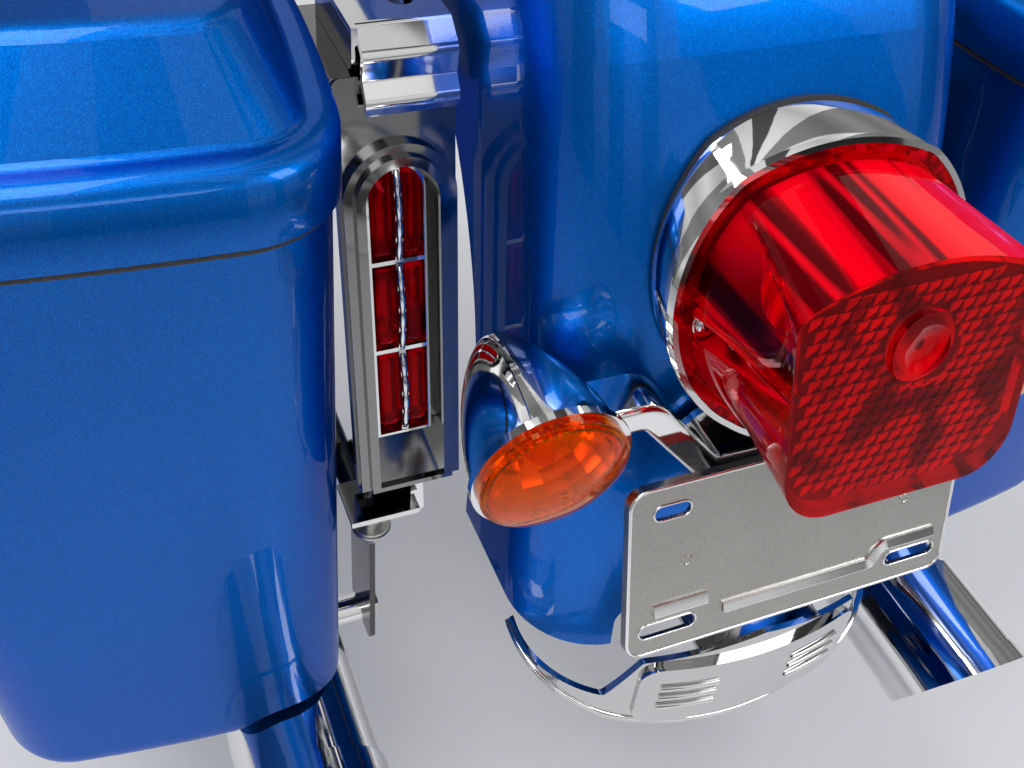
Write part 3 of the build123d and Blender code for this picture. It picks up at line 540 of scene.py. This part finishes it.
def lens(name, colour, deep, gloss, clear):
    """Tinted clear plastic with dark streaks of painted reflection on its sides and top, and a top that may
    be less clear.
    """
    m = Nodes(name)
    m.set(colour=colour, clear=clear, rough=0.0, ior=1.42, tint=gloss)
    stretch = m.add("ShaderNodeMapping")
    stretch.inputs["Scale"].default_value = (52.0, 3.0, 52.0)
    m.link(m.place(), stretch.inputs["Vector"])
    reflection_streaks = m.add("ShaderNodeTexNoise")
    reflection_streaks.inputs["Scale"].default_value = 1.0
    reflection_streaks.inputs["Detail"].default_value = 2.0
    m.link(stretch.outputs["Vector"], reflection_streaks.inputs["Vector"])
    # Painted reflection: the deep colour draws dark streaks for mirrored surroundings, kept off the lens's
    # face.
    reflection_streaked = m.ramp(reflection_streaks.outputs["Fac"], [(0.42, deep), (0.48, colour)])
    normal = m.add("ShaderNodeNewGeometry").outputs["Normal"]
    facing = m.add("ShaderNodeVectorMath", operation="DOT_PRODUCT")
    m.link(normal, facing.inputs[0])
    facing.inputs[1].default_value = LAMP_OUT
    sides = m.ramp(facing.outputs["Value"], [(0.6, grey(0.0)), (0.9, grey(1.0))])
    mix = m.add("ShaderNodeMix", data_type="RGBA")
    m.link(sides, mix.inputs["Factor"])
    m.link(reflection_streaked, mix.inputs[6])
    mix.inputs[7].default_value = (*colour, 1.0)
    m.link(mix.outputs[2], m.shader.inputs["Base Color"])
    parts = m.add("ShaderNodeSeparateXYZ")
    m.link(normal, parts.inputs[0])
    clearness = m.ramp(parts.outputs["Z"], [
        (0.0, grey(SIDE_CLEARNESS)), (0.25, grey(FACE_CLEARNESS)),
        (0.45, grey(SIDE_CLEARNESS)), (0.90, grey(clear))])
    m.link(clearness, m.shader.inputs["Transmission Weight"])
    return m.material


def prism_plastic(name, colour, deep, gloss):
    """Faceted moulding seen through a lens."""
    m = Nodes(name)
    m.set(colour=colour, rough=0.10, ior=1.60, tint=gloss)
    shift = m.noise(26.0, 2.0, 0.6)
    tone = m.ramp(shift.outputs["Fac"], [(0.38, deep), (0.58, colour)])
    m.link(tone, m.shader.inputs["Base Color"])
    return m.material


def clear_glass():
    m = Nodes("bulb_glass")
    m.set(colour=(0.98, 0.98, 0.97), clear=1.0, rough=0.01, ior=1.46)
    swirl = m.noise(60.0, 1.0)
    m.link(m.bump(swirl.outputs["Fac"], 0.05, 0.2), m.shader.inputs["Normal"])
    return m.material


def rubber():
    m = Nodes("rubber")
    m.set(colour=grey(0.018), rough=0.55)
    grain = m.noise(700.0, 3.0)
    tone = m.ramp(grain.outputs["Fac"], [(0.3, grey(0.012)), (0.7, grey(0.030))])
    m.link(tone, m.shader.inputs["Base Color"])
    m.link(m.bump(grain.outputs["Fac"], 0.2, 0.1), m.shader.inputs["Normal"])
    return m.material


def frame_paint():
    """Black baked enamel on the hidden steel."""
    m = Nodes("frame_paint")
    m.set(colour=grey(0.012), rough=0.28, coat=0.6, coat_rough=0.12)
    peel = m.noise(320.0, 2.0)
    tone = m.ramp(peel.outputs["Fac"], [(0.3, grey(0.010)), (0.7, grey(0.020))])
    m.link(tone, m.shader.inputs["Base Color"])
    m.link(m.bump(peel.outputs["Fac"], 0.12, 0.15), m.shader.inputs["Normal"])
    return m.material


# One paint in three brightnesses, painted light and shade: the fender lighter, the bags and lids darker.
BODY_PAINT = body_paint("body_paint", 1.15)
BAG_PAINT = body_paint("bag_paint", 0.85)
LID_PAINT = body_paint("lid_paint", 0.90, swell=LID_BAND)
CHROME = chrome()
ROLLED_CHROME = rolled_chrome()
DARK_CHROME = chrome("dark_chrome", 0.26, 0.07, 0.08)
REFLECTOR = chrome("reflector", 0.86, 0.12, 0.05)
STAINLESS = stainless()
ZINC = plated_bolt()
POLISHED = chrome("polished", 0.92, 0.16, 0.06)
# The third colour of each lens is the dark of its painted reflection streaks.
RED_LENS = lens("red_lens", (1.0, 0.0, 0.012), (0.10, 0.0, 0.002), (1.0, 0.0, 0.04), clear=0.30)
# Bright and dark copies of the prism plastic: the dark copy is painted shade, on the shaded facets and on
# the sheet behind the prisms.
RED_PRISM = prism_plastic("red_prism", (1.0, 0.05, 0.05), (0.62, 0.0, 0.01), (1.0, 0.2, 0.2))
RED_PAINTED_SHADE = prism_plastic("red_painted_shade", (0.16, 0.0, 0.003), (0.03, 0.0, 0.001), (1.0, 0.1, 0.1))
AMBER_LENS = lens("amber_lens", (1.0, 0.22, 0.0), (0.8, 0.13, 0.0), (1.0, 0.45, 0.12), clear=1.0)
AMBER_GLASS = prism_plastic("amber_bulb", (1.0, 0.28, 0.02), (0.80, 0.14, 0.0), (1.0, 0.5, 0.15))
BUMPER_CHROME = chrome("bumper_chrome", 0.58, 0.035, 0.05)
BULB_GLASS = clear_glass()
RUBBER = rubber()
FRAME_PAINT = frame_paint()

FINISHES = {
    "body_paint": BODY_PAINT,
    "frame_paint": FRAME_PAINT,
    "chrome": CHROME,
    "dark_chrome": DARK_CHROME,
    "stainless": STAINLESS,
    "reflector": REFLECTOR,
    "red_lens": RED_LENS,
    "amber_lens": AMBER_LENS,
    "bulb_glass": BULB_GLASS,
    "rubber": RUBBER,
}
NODE_FINISHES = {
    "tail_lamp_bezel": ROLLED_CHROME,
    "fender_bumper": BUMPER_CHROME,
    "left_bag_body": BAG_PAINT,
    "right_bag_body": BAG_PAINT,
    "left_bag_lid": LID_PAINT,
    "right_bag_lid": LID_PAINT,
}


def dress_solids():
    """Finish each solid as the record's material slot says."""
    for part in frame["record"]["subparts"]:
        obj = nodes[part["node"]]
        finish = NODE_FINISHES.get(part["node"], FINISHES[part["material_slot"]])
        obj.data.materials.clear()
        obj.data.materials.append(finish)
        smooth_by_angle(obj, 32.0)


# Fasteners

def hex_head(shape, seat, across, height):
    """Hexagon with a chamfered top and a washer under it."""
    corner = across / 2 / math.cos(math.pi / 6)
    shape.turned(seat, [(corner, 1.4), (corner, 0.8 * height), (0.88 * corner, height)], sides=6)
    shape.turned(seat, [
        (0.80 * across, 0.0), (0.84 * across, 0.4), (0.84 * across, 1.2), (0.78 * across, 1.5)])
    shape.turned(seat, [(0.72 * corner, height), (0.66 * corner, height + 0.3)])


def pan_head(shape, seat, radius):
    """Domed screw head with the four raised quarters of a cross slot."""
    rise = 0.55 * radius
    shape.turned(seat, [
        (radius, 0.0), (radius, 0.35 * rise), (0.86 * radius, 0.72 * rise), (0.60 * radius, 0.92 * rise)])
    for quarter in range(4):
        turn = math.radians(45 + 90 * quarter)
        u = 0.36 * radius * math.cos(turn)
        v = 0.36 * radius * math.sin(turn)
        spot = Seat(seat.at(u, v), seat.w, seat.u)
        shape.turned(spot, [(0.34 * radius, 0.8 * rise), (0.30 * radius, 1.04 * rise)],
                     sides=4, phase=math.pi / 4)


def rivet(shape, seat, radius):
    """Low round head."""
    profile = ((1.0, 0.0), (0.96, 0.22), (0.72, 0.46), (0.3, 0.58))
    shape.turned(seat, [(radius * share, radius * rise) for share, rise in profile], sides=24)


# Tail lamp

LAMP = leaning(LAMP_CENTRE, LAMP_TILT)


def within_face(u, v, border):
    """Whether a spot lies inside the lens's face, a border from its edge."""
    half = FACE_HALF - border - FACE_TAPER * max(0.0, -v)
    top = FACE_TOP - border - FACE_CROWN * u * u
    low = FACE_BOTTOM + border
    over = max(0.0, abs(u) - (half - FACE_CORNER_R))
    under = max(0.0, low + FACE_CORNER_R - v)
    return abs(u) < half and low < v < top and math.hypot(over, under) < FACE_CORNER_R


def lens_prisms():
    """Staggered wedges moulded on the inside of the lens's face, each split into a bright facet painted as
    lit and a dark facet of painted shade.
    """
    bright, painted_shade_facets = Shape(), Shape()
    base = LENS_DEPTH - LENS_WALL - PRISM_RISE - 0.3
    columns = int(FACE_HALF / PRISM_PITCH_U) + 1
    rows = int((FACE_TOP - FACE_BOTTOM) / PRISM_PITCH_V)
    for row in range(rows):
        v = FACE_BOTTOM + (row + 0.5) * PRISM_PITCH_V
        for column in range(-columns, columns):
            u = (column + 0.5 * (row % 2)) * PRISM_PITCH_U
            if not within_face(u, v, PRISM_BORDER) or math.hypot(u - BOSS_U, v) < BOSS_R + BOSS_CLEARANCE:
                continue
            across = PRISM_PITCH_U / 2 - PRISM_INSET
            along = PRISM_PITCH_V / 2 - PRISM_INSET
            top_left = LAMP.at(u - across, v + along, base + PRISM_RISE)
            top_right = LAMP.at(u + across, v + along, base + 0.6 * PRISM_RISE)
            low_left = LAMP.at(u - across, v - along, base + 0.5 * PRISM_RISE)
            low_right = LAMP.at(u + across, v - along, base)
            split = LAMP.at(u + 0.35 * across, v + 0.1 * along, base + 0.8 * PRISM_RISE)
            deep = -LAMP.w * PRISM_BACK
            # The second facet of each wedge takes the dark copy of the plastic: painted shade.
            for shape, corners in ((bright, (top_left, top_right, split, low_left)),
                                   (painted_shade_facets, (low_left, split, top_right, low_right))):
                shape.skin([[c + deep for c in corners], list(corners)])
    bright.make("lens_prisms", RED_PRISM, crease=5.0)
    painted_shade_facets.make("lens_prism_painted_shades", RED_PAINTED_SHADE, crease=5.0)
    lens_painted_shade(base - 1.0)


def lens_painted_shade(depth):
    """Dark sheet behind the prisms, painted shade seen in the grooves between them."""
    outline = []
    for step in range(96):
        turn = 2 * math.pi * step / 96
        reach = 0.0
        while within_face(reach * math.cos(turn), reach * math.sin(turn), PAINTED_SHADE_BORDER):
            reach += 0.5
        outline.append((reach * math.cos(turn), reach * math.sin(turn)))
    rings = [[LAMP.at(u, v, w) for u, v in outline] for w in (depth - 0.8, depth)]
    Shape().skin(rings).make("lens_painted_shade", RED_PAINTED_SHADE)


def lens_boss_rings():
    """Stepped rings under the round boss of the lens."""
    floor = LENS_DEPTH - LENS_WALL - 2.2
    Shape().turned(Seat(LAMP.at(BOSS_U, 0.0), LAMP.w), [
        (3.0, floor), (9.0, floor + 0.6), (9.4, floor + 1.6), (13.0, floor + 1.6), (13.4, floor + 0.4),
        (16.5, floor + 0.4), (16.5, floor - 0.8), (3.0, floor - 0.8)],
        sides=56, closed=True).make("lens_boss_rings", RED_PRISM, crease=20.0)


def lens_screws():
    shape = Shape()
    for side in (-1, 1):
        spot = Seat(LAMP.at(side * SCREW_U, SCREW_V, FLANGE_THICKNESS), LAMP.w)
        shape.turned(spot, [(6.2, 0.0), (6.2, 0.7), (5.6, 1.0), (4.0, 1.0)])
        pan_head(shape, Seat(spot.at(0, 0, 1.0), LAMP.w, (1, 0.4, 0.3)), 4.6)
    shape.make("lens_screws", CHROME)


# Turn signals

def bullet_radius(radius, length, depth):
    """Radius of the signal's bullet at a depth behind its rim."""
    points = ((0.0, radius), (0.36 * length, radius), (0.9 * length, 0.5 * radius), (length, 0.0))
    best = radius
    for step in range(101):
        t = step / 100
        weights = ((1 - t) ** 3, 3 * t * (1 - t) ** 2, 3 * t * t * (1 - t), t ** 3)
        along = sum(w * p[0] for w, p in zip(weights, points))
        if along <= depth:
            best = sum(w * p[1] for w, p in zip(weights, points))
    return best


def signal_flutes(side_name, side):
    """Ring of flutes round the edge of the amber lens, on its inside."""
    seat = leaning(sided(SIGNAL_PLACE, side), SIGNAL_TILT)
    shape = Shape()
    for step in range(SIGNAL_FLUTES):
        turn = 2 * math.pi * step / SIGNAL_FLUTES
        reach = SIGNAL_R - FLUTE_INSET
        spot = seat.at(reach * math.cos(turn), reach * math.sin(turn), FLUTE_DEPTH)
        shape.turned(Seat(spot, seat.w), [(1.5, 0.0), (1.4, 1.6), (0.8, 2.6)], sides=8)
    shape.make(f"{side_name}_signal_flutes", AMBER_GLASS)


def signal_insides(side_name, side):
    """Faceted reflector, socket and bulb behind an amber lens."""
    seat = leaning(sided(SIGNAL_PLACE, side), SIGNAL_TILT)
    bowl_r = SIGNAL_R - SIGNAL_WALL
    bowl_length = 0.5 * SIGNAL_LENGTH
    depths = (1.0, 6.0, 12.0, 18.0, 24.0, 30.0, 35.0)
    profile = [(bullet_radius(bowl_r, bowl_length, depth) - 1.2, -depth) for depth in depths]
    wall = [(radius - 1.0, height) for radius, height in reversed(profile)]
    Shape().turned(seat, profile + wall, sides=18, closed=True).make(
        f"{side_name}_signal_reflector", REFLECTOR, crease=4.0)
    socket = Shape()
    socket.turned(seat, [(3.0, -36.0), (7.5, -35.0), (7.5, -27.0), (6.6, -26.0)], sides=28)
    socket.make(f"{side_name}_signal_socket", CHROME)
    glass = Shape()
    glass.turned(seat, [
        (6.0, -26.0), (8.6, -20.0), (9.0, -15.0), (7.6, -9.5), (4.2, -6.2), (0.8, -5.2)], sides=28)
    glass.make(f"{side_name}_signal_bulb", AMBER_GLASS)


# Filler panels

def filler_rods(side_name):
    """Beaded rod over each row of the filler panel's lens."""
    low_corner, high_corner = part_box(f"{side_name}_filler_grille")
    centre_x = (low_corner[0] + high_corner[0]) / 2 / MM
    seat = leaning((centre_x, FILLER_Y, FILLER_Z), FILLER_TILT)
    pitch = (FILLER_HIGH - FILLER_LOW) / FILLER_ROWS
    turns = [2 * math.pi * i / 12 for i in range(12)]
    rods = Shape()
    for row in range(FILLER_ROWS):
        low = FILLER_LOW + row * pitch + ROD_INSET
        rings = []
        for step in range(ROD_STEPS + 1):
            along = step / ROD_STEPS
            height = ROD_HEIGHT + ROD_BOW * (1 - (2 * along - 1) ** 2)
            radius = ROD_R + ROD_SWELL * abs(math.sin(ROD_BEADS * math.pi * along))
            v = low + along * (pitch - 2 * ROD_INSET)
            rings.append([seat.at(radius * math.cos(a), v, height + radius * math.sin(a)) for a in turns])
        rods.skin(rings)
    rods.make(f"{side_name}_filler_rods", CHROME, crease=60.0)


# Plate bracket

PLATE = leaning(PLATE_CENTRE, PLATE_TILT)


def plate_trim():
    """Polished edge, pressed slot lips, ribs and dimples of the bracket."""
    edge = rounded_outline(PLATE_WIDTH / 2 - PLATE_EDGE_R, PLATE_HEIGHT / 2 - PLATE_EDGE_R, PLATE_CORNER_R)
    bead("plate_edge", [PLATE.at(u, v, -0.2) for u, v in edge], PLATE_EDGE_R, POLISHED, closed=True)
    for number, (u, v, length) in enumerate((
            (-SLOT_U, SLOT_V, TOP_SLOT), (SLOT_U, SLOT_V, TOP_SLOT),
            (-SLOT_U, -SLOT_V, LOW_SLOT), (SLOT_U, -SLOT_V, LOW_SLOT))):
        half = SLOT_WIDTH / 2 + SLOT_LIP_GAP
        lip = rounded_outline(length / 2 + SLOT_LIP_GAP, half, half - 0.01, (u, v))
        path = [PLATE.at(a, b, 0.1) for a, b in lip]
        bead(f"plate_slot_lip_{number}", path, SLOT_LIP_R, POLISHED, closed=True)
    long_rib = [(-42.0, RIB_V), (42.0, RIB_V)]
    long_rib += arc_points(44.0, RIB_V + RIB_BEND_R, RIB_BEND_R, -90, -45, 4)
    long_rib += [(51.0, RIB_STEP_V - 2.6)]
    long_rib += arc_points(56.5, RIB_STEP_V - RIB_BEND_R, RIB_BEND_R, 135, 90, 4)
    long_rib += [(86.0, RIB_STEP_V)]
    ridge("plate_long_rib", PLATE, long_rib, LONG_RIB_HALF, RIB_HEIGHT, POLISHED)
    short_rib = [(u, SHORT_RIB_V) for u in SHORT_RIB_U]
    ridge("plate_short_rib", PLATE, short_rib, SHORT_RIB_HALF, RIB_HEIGHT, POLISHED)
    dimples = Shape()
    for u in (-DIMPLE_U, DIMPLE_U):
        spot = Seat(PLATE.at(u, DIMPLE_V), PLATE.w)
        dimples.turned(spot, [(3.4, 0.0), (2.9, 0.5), (2.1, 0.5), (1.6, 0.1)], sides=28)
    dimples.make("plate_dimples", STAINLESS)


# Fender bumper

def bumper_front(x, proud):
    """Y of the bumper's bowed front at a place across it."""
    radius = (PANEL_HALF ** 2 + BUMPER_BOW ** 2) / (2 * BUMPER_BOW)
    centre_y = BUMPER_Y + radius
    return centre_y - math.sqrt((radius + proud) ** 2 - x * x)


def bumper_low_z(x):
    """Height of the bumper's lower edge at a place across it."""
    drop = WING_Z - BUMPER_LOW_Z
    radius = (BUMPER_HALF ** 2 + drop ** 2) / (2 * drop)
    return BUMPER_LOW_Z + radius - math.sqrt(radius ** 2 - x * x)


def bumper_wing(side):
    """Plan points of the wing's outer face, from the panel's end to the wing's end."""
    radius = (PANEL_HALF ** 2 + BUMPER_BOW ** 2) / (2 * BUMPER_BOW)
    start = Vector((PANEL_HALF, BUMPER_Y + BUMPER_BOW))
    inward = Vector((-PANEL_HALF, radius - BUMPER_BOW)).normalized()
    end_x = BUMPER_HALF - WING_INSET
    reach = Vector((end_x, WING_Y)) - start
    wing_r = reach.length_squared / (2 * reach.dot(inward))
    centre = start + inward * wing_r
    first = math.atan2(start.y - centre.y, start.x - centre.x)
    last = math.atan2(WING_Y - centre.y, end_x - centre.x)
    outer = wing_r + BUMPER_WALL / 2
    turns = [first + (last - first) * i / WING_STEPS for i in range(WING_STEPS + 1)]
    return [(side * (centre.x + outer * math.cos(a)), centre.y + outer * math.sin(a)) for a in turns]


def bumper_trim():
    """Bead along the lower edge and the raised bars of the centre panel."""
    middle = [(x, bumper_front(x, BUMPER_WALL / 2)) for x in range(-70, 71, 5)]
    plan = list(reversed(bumper_wing(-1))) + middle + bumper_wing(1)
    path = [(x, y, bumper_low_z(min(abs(x), BUMPER_HALF)) + BUMPER_BEAD_Z) for x, y in plan]
    bead("bumper_low_bead", path, BUMPER_BEAD_R, CHROME)
    for side_name, side in SIDES:
        for row in range(3):
            z = PANEL_Z + (row - 1) * LOUVRE_PITCH
            bar = [(side * x, bumper_front(x, PANEL_PROUD), z) for x in BAR_X]
            bead(f"bumper_bar_{side_name}_{row}", bar, BAR_R, CHROME)


# Bolts on the frame, brackets and mufflers

def bracket_bolts(side_name, side):
    """Flange bolt under the shelf, bolts of the muffler hangers and of the front leg."""
    down = Seat(sided(SHELF_BOLT, side), (0, 0, -1))
    shape = Shape()
    shape.turned(down, [(6.5, 0.0), (6.5, SHELF_SPACER)], sides=28)
    low = Seat(down.at(0, 0, SHELF_SPACER), down.w)
    shape.turned(low, [(11.0, 0.0), (11.0, 1.6), (9.4, 2.4), (7.0, 2.4)], sides=36)
    hex_head(shape, Seat(low.at(0, 0, 2.4), low.w, (1, 0.35, 0)), 14.0, 10.0)
    shape.turned(low, [(4.0, 11.0), (4.0, 16.0), (3.2, 17.0)], sides=20)
    shape.make(f"{side_name}_shelf_bolt", ZINC)
    hangers = Shape()
    for y in HANGER_Y:
        for z in (RAIL_Z, MUFFLER_Z):
            seat = Seat(sided((HANGER_X, y, z), side), (-side, 0, 0), (0, 1, 0.3))
            hex_head(hangers, seat, 13.0, 8.0)
    hangers.make(f"{side_name}_hanger_bolts", ZINC)


def inlet_clamp(side_name, side):
    """Band clamp round the muffler's inlet, with its bolt."""
    seat = Seat(sided((MUFFLER_X, INLET_Y, MUFFLER_Z), side), (0, 1, 0))
    shape = Shape()
    shape.turned(seat, [
        (INLET_R + 0.2, -8.0), (INLET_R + 2.0, -8.0), (INLET_R + 2.4, -7.0), (INLET_R + 2.4, 7.0),
        (INLET_R + 2.0, 8.0), (INLET_R + 0.2, 8.0)], sides=64, closed=True)
    drop = Vector((0, 0, -INLET_R - CLAMP_LUG_DROP))
    lug = Seat(seat.origin + drop, (-side, 0, 0), (0, 1, 0))
    outline = rounded_outline(7.0, 6.5, 2.0)
    for middle in (-CLAMP_LUG_W, CLAMP_LUG_W):
        shape.skin([[lug.at(u, v, w) for u, v in outline] for w in (middle - 1.2, middle + 1.2)])
    hex_head(shape, Seat(lug.at(0, 0, 8.2), lug.w, (0, 1, 0)), 9.0, 5.0)
    shape.turned(lug, [(2.6, -12.0), (2.6, 8.0)], sides=18)
    shape.make(f"{side_name}_inlet_clamp", STAINLESS)


# Bags

def outline_at(node, z):
    """Outer outline of a node's solid at a height where it has an edge."""
    flat = [v.co.to_2d() for v in nodes[node].data.vertices if abs(v.co.z / MM - z) < 0.05]
    hull = mathutils.geometry.convex_hull_2d(flat)
    return [(flat[i].x / MM, flat[i].y / MM) for i in hull]


def lid_shadow_line(side_name):
    """Dark rubber-coloured line under the lid's lower edge, painted shadow of the lid's lip."""
    lid = f"{side_name}_bag_lid"
    low_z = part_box(lid)[0][2] / MM
    outline = outline_at(lid, low_z)
    middle_x = sum(p[0] for p in outline) / len(outline)
    middle_y = sum(p[1] for p in outline) / len(outline)
    path = []
    for x, y in outline:
        inset_x = math.copysign(SHADOW_LINE_INSET, x - middle_x) * (abs(x - middle_x) > 30.0)
        inset_y = math.copysign(SHADOW_LINE_INSET, y - middle_y) * (abs(y - middle_y) > 30.0)
        path.append((x - inset_x, y - inset_y, low_z - SHADOW_LINE_R - SHADOW_LINE_GAP))
    bead(f"{side_name}_lid_shadow_line", path, SHADOW_LINE_R, RUBBER, closed=True)


def hinge_rivets(side_name, side):
    """Rivet heads on the hinge leaves."""
    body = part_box(f"{side_name}_bag_hinge")
    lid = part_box(f"{side_name}_lid_hinge")
    out = (side, 0, 0)
    for name, box, carrier, share in (("bag", body, "tail", 0.38), ("lid", lid, f"{side_name}_lid", 0.72)):
        low, high = (Vector(corner) / MM for corner in box)
        z = low.z + share * (high.z - low.z)
        face_x = LEAF_FACES[name] * side
        heads = Shape()
        for centre in (low.y + RIVET_MARGIN, high.y - RIVET_MARGIN):
            for step in (-RIVET_PITCH, 0.0, RIVET_PITCH):
                rivet(heads, Seat((face_x, centre + step, z), out, (0, 1, 0)), RIVET_R)
        heads.make(f"{side_name}_{name}_leaf_rivets", STAINLESS, body=carrier)


# Studio

def make_camera():
    data = bpy.data.cameras.new("camera")
    data.lens = FOCAL_PIXELS / FRAME_WIDTH * SENSOR_WIDTH
    data.sensor_width = SENSOR_WIDTH
    data.clip_start = 0.01
    camera = bpy.data.objects.new("camera", data)
    bpy.context.scene.collection.objects.link(camera)
    right = Vector(CAMERA_RIGHT).normalized()
    up = Vector(CAMERA_UP)
    up = (up - right * up.dot(right)).normalized()
    back = right.cross(up)
    turn = Matrix((right, up, back)).transposed().to_4x4()
    camera.matrix_world = Matrix.Translation(CAMERA_PLACE) @ turn
    bpy.context.scene.camera = camera


def make_floor():
    low = min(corner[2] for corner in cad_box) / MM - FLOOR_DROP
    half = FLOOR_SIZE / 2
    m = Nodes("floor")
    m.set(colour=grey(0.80), rough=0.7)
    # Painted falloff of light: the floor's colour goes from pale near the object to darker far off.
    far = m.add("ShaderNodeVectorMath", operation="LENGTH")
    m.link(m.place(), far.inputs[0])
    spread = m.add("ShaderNodeMapRange")
    spread.inputs["From Min"].default_value = FLOOR_NEAR * MM
    spread.inputs["From Max"].default_value = FLOOR_FAR * MM
    m.link(far.outputs["Value"], spread.inputs["Value"])
    tone = m.ramp(spread.outputs["Result"], [(0.0, grey(0.82)), (1.0, grey(0.58))])
    m.link(tone, m.shader.inputs["Base Color"])
    corners = [(-half, -half, low), (half, -half, low), (half, half, low), (-half, half, low)]
    floor = new_piece("floor", corners, [(0, 1, 2, 3)])
    floor.data.materials.append(m.material)


def world_ramp(tree, source, stops, lowest, blend="LINEAR"):
    """Brightness that follows a value through the given (value, brightness) stops."""
    spread = tree.nodes.new("ShaderNodeMapRange")
    spread.inputs["From Min"].default_value = lowest
    spread.inputs["From Max"].default_value = -lowest
    tree.links.new(source, spread.inputs["Value"])
    ramp = tree.nodes.new("ShaderNodeValToRGB")
    ramp.color_ramp.interpolation = blend
    elements = ramp.color_ramp.elements
    while len(elements) < len(stops):
        elements.new(0.5)
    for element, (value, brightness) in zip(elements, stops):
        element.position = (value - lowest) / (-2 * lowest)
        element.color = (*grey(brightness), 1.0)
    tree.links.new(spread.outputs["Result"], ramp.inputs["Fac"])
    return ramp.outputs["Color"]


def make_world():
    """Pale backdrop, with soft bands that plated parts can mirror."""
    world = bpy.data.worlds.new("studio")
    bpy.context.scene.world = world
    world.use_nodes = True
    tree = world.node_tree
    tree.nodes.clear()
    out = tree.nodes.new("ShaderNodeOutputWorld")
    place = tree.nodes.new("ShaderNodeTexCoord")
    parts = tree.nodes.new("ShaderNodeSeparateXYZ")
    tree.links.new(place.outputs["Generated"], parts.inputs[0])
    heights = world_ramp(tree, parts.outputs["Z"], MIRRORED_HEIGHTS, -1.0)
    turn = tree.nodes.new("ShaderNodeMath")
    turn.operation = "ARCTAN2"
    tree.links.new(parts.outputs["Y"], turn.inputs[0])
    tree.links.new(parts.outputs["X"], turn.inputs[1])
    cards = world_ramp(tree, turn.outputs[0], MIRRORED_CARDS, -math.pi, "CONSTANT")
    bands = tree.nodes.new("ShaderNodeMath")
    bands.operation = "MULTIPLY"
    tree.links.new(heights, bands.inputs[0])
    tree.links.new(cards, bands.inputs[1])
    mirrored = tree.nodes.new("ShaderNodeBackground")
    tree.links.new(bands.outputs[0], mirrored.inputs["Color"])
    plain = tree.nodes.new("ShaderNodeBackground")
    plain.inputs["Color"].default_value = (0.93, 0.95, 1.0, 1.0)
    plain.inputs["Strength"].default_value = 0.55
    seen = tree.nodes.new("ShaderNodeBackground")
    seen.inputs["Color"].default_value = (0.90, 0.91, 0.92, 1.0)
    path = tree.nodes.new("ShaderNodeLightPath")
    gloss = tree.nodes.new("ShaderNodeMixShader")
    tree.links.new(path.outputs["Is Glossy Ray"], gloss.inputs["Fac"])
    tree.links.new(plain.outputs[0], gloss.inputs[1])
    tree.links.new(mirrored.outputs[0], gloss.inputs[2])
    clear = tree.nodes.new("ShaderNodeMath")
    clear.operation = "MAXIMUM"
    tree.links.new(path.outputs["Is Camera Ray"], clear.inputs[0])
    tree.links.new(path.outputs["Is Transmission Ray"], clear.inputs[1])
    camera = tree.nodes.new("ShaderNodeMixShader")
    tree.links.new(clear.outputs[0], camera.inputs["Fac"])
    tree.links.new(gloss.outputs[0], camera.inputs[1])
    tree.links.new(seen.outputs[0], camera.inputs[2])
    tree.links.new(camera.outputs[0], out.inputs["Surface"])


def make_lamp(name, place, target, size, watts):
    data = bpy.data.lights.new(name, "AREA")
    data.shape = "RECTANGLE"
    data.size, data.size_y = size
    data.energy = watts
    lamp = bpy.data.objects.new(name, data)
    bpy.context.scene.collection.objects.link(lamp)
    lamp.location = place
    lamp.rotation_euler = (Vector(target) - Vector(place)).to_track_quat("-Z", "Y").to_euler()


make_camera()
make_floor()
make_world()
make_lamp("soft_top", (-0.9, -0.2, 2.4), (0.0, -0.4, 0.0), (1.6, 1.2), 34.0)
make_lamp("soft_side", (1.4, -2.0, 1.8), (0.0, -0.5, -0.1), (0.9, 1.4), 27.0)
make_lamp("strip_rear", (-0.8, -2.4, 1.2), (0.0, -0.6, -0.15), (1.4, 0.4), 7.0)
bpy.context.scene.view_settings.view_transform = "Standard"
dress_solids()
lens_prisms()
lens_boss_rings()
lens_screws()
plate_trim()
bumper_trim()
for side_name, side in SIDES:
    signal_insides(side_name, side)
    signal_flutes(side_name, side)
    filler_rods(side_name)
    bracket_bolts(side_name, side)
    inlet_clamp(side_name, side)
    lid_shadow_line(side_name)
    hinge_rivets(side_name, side)
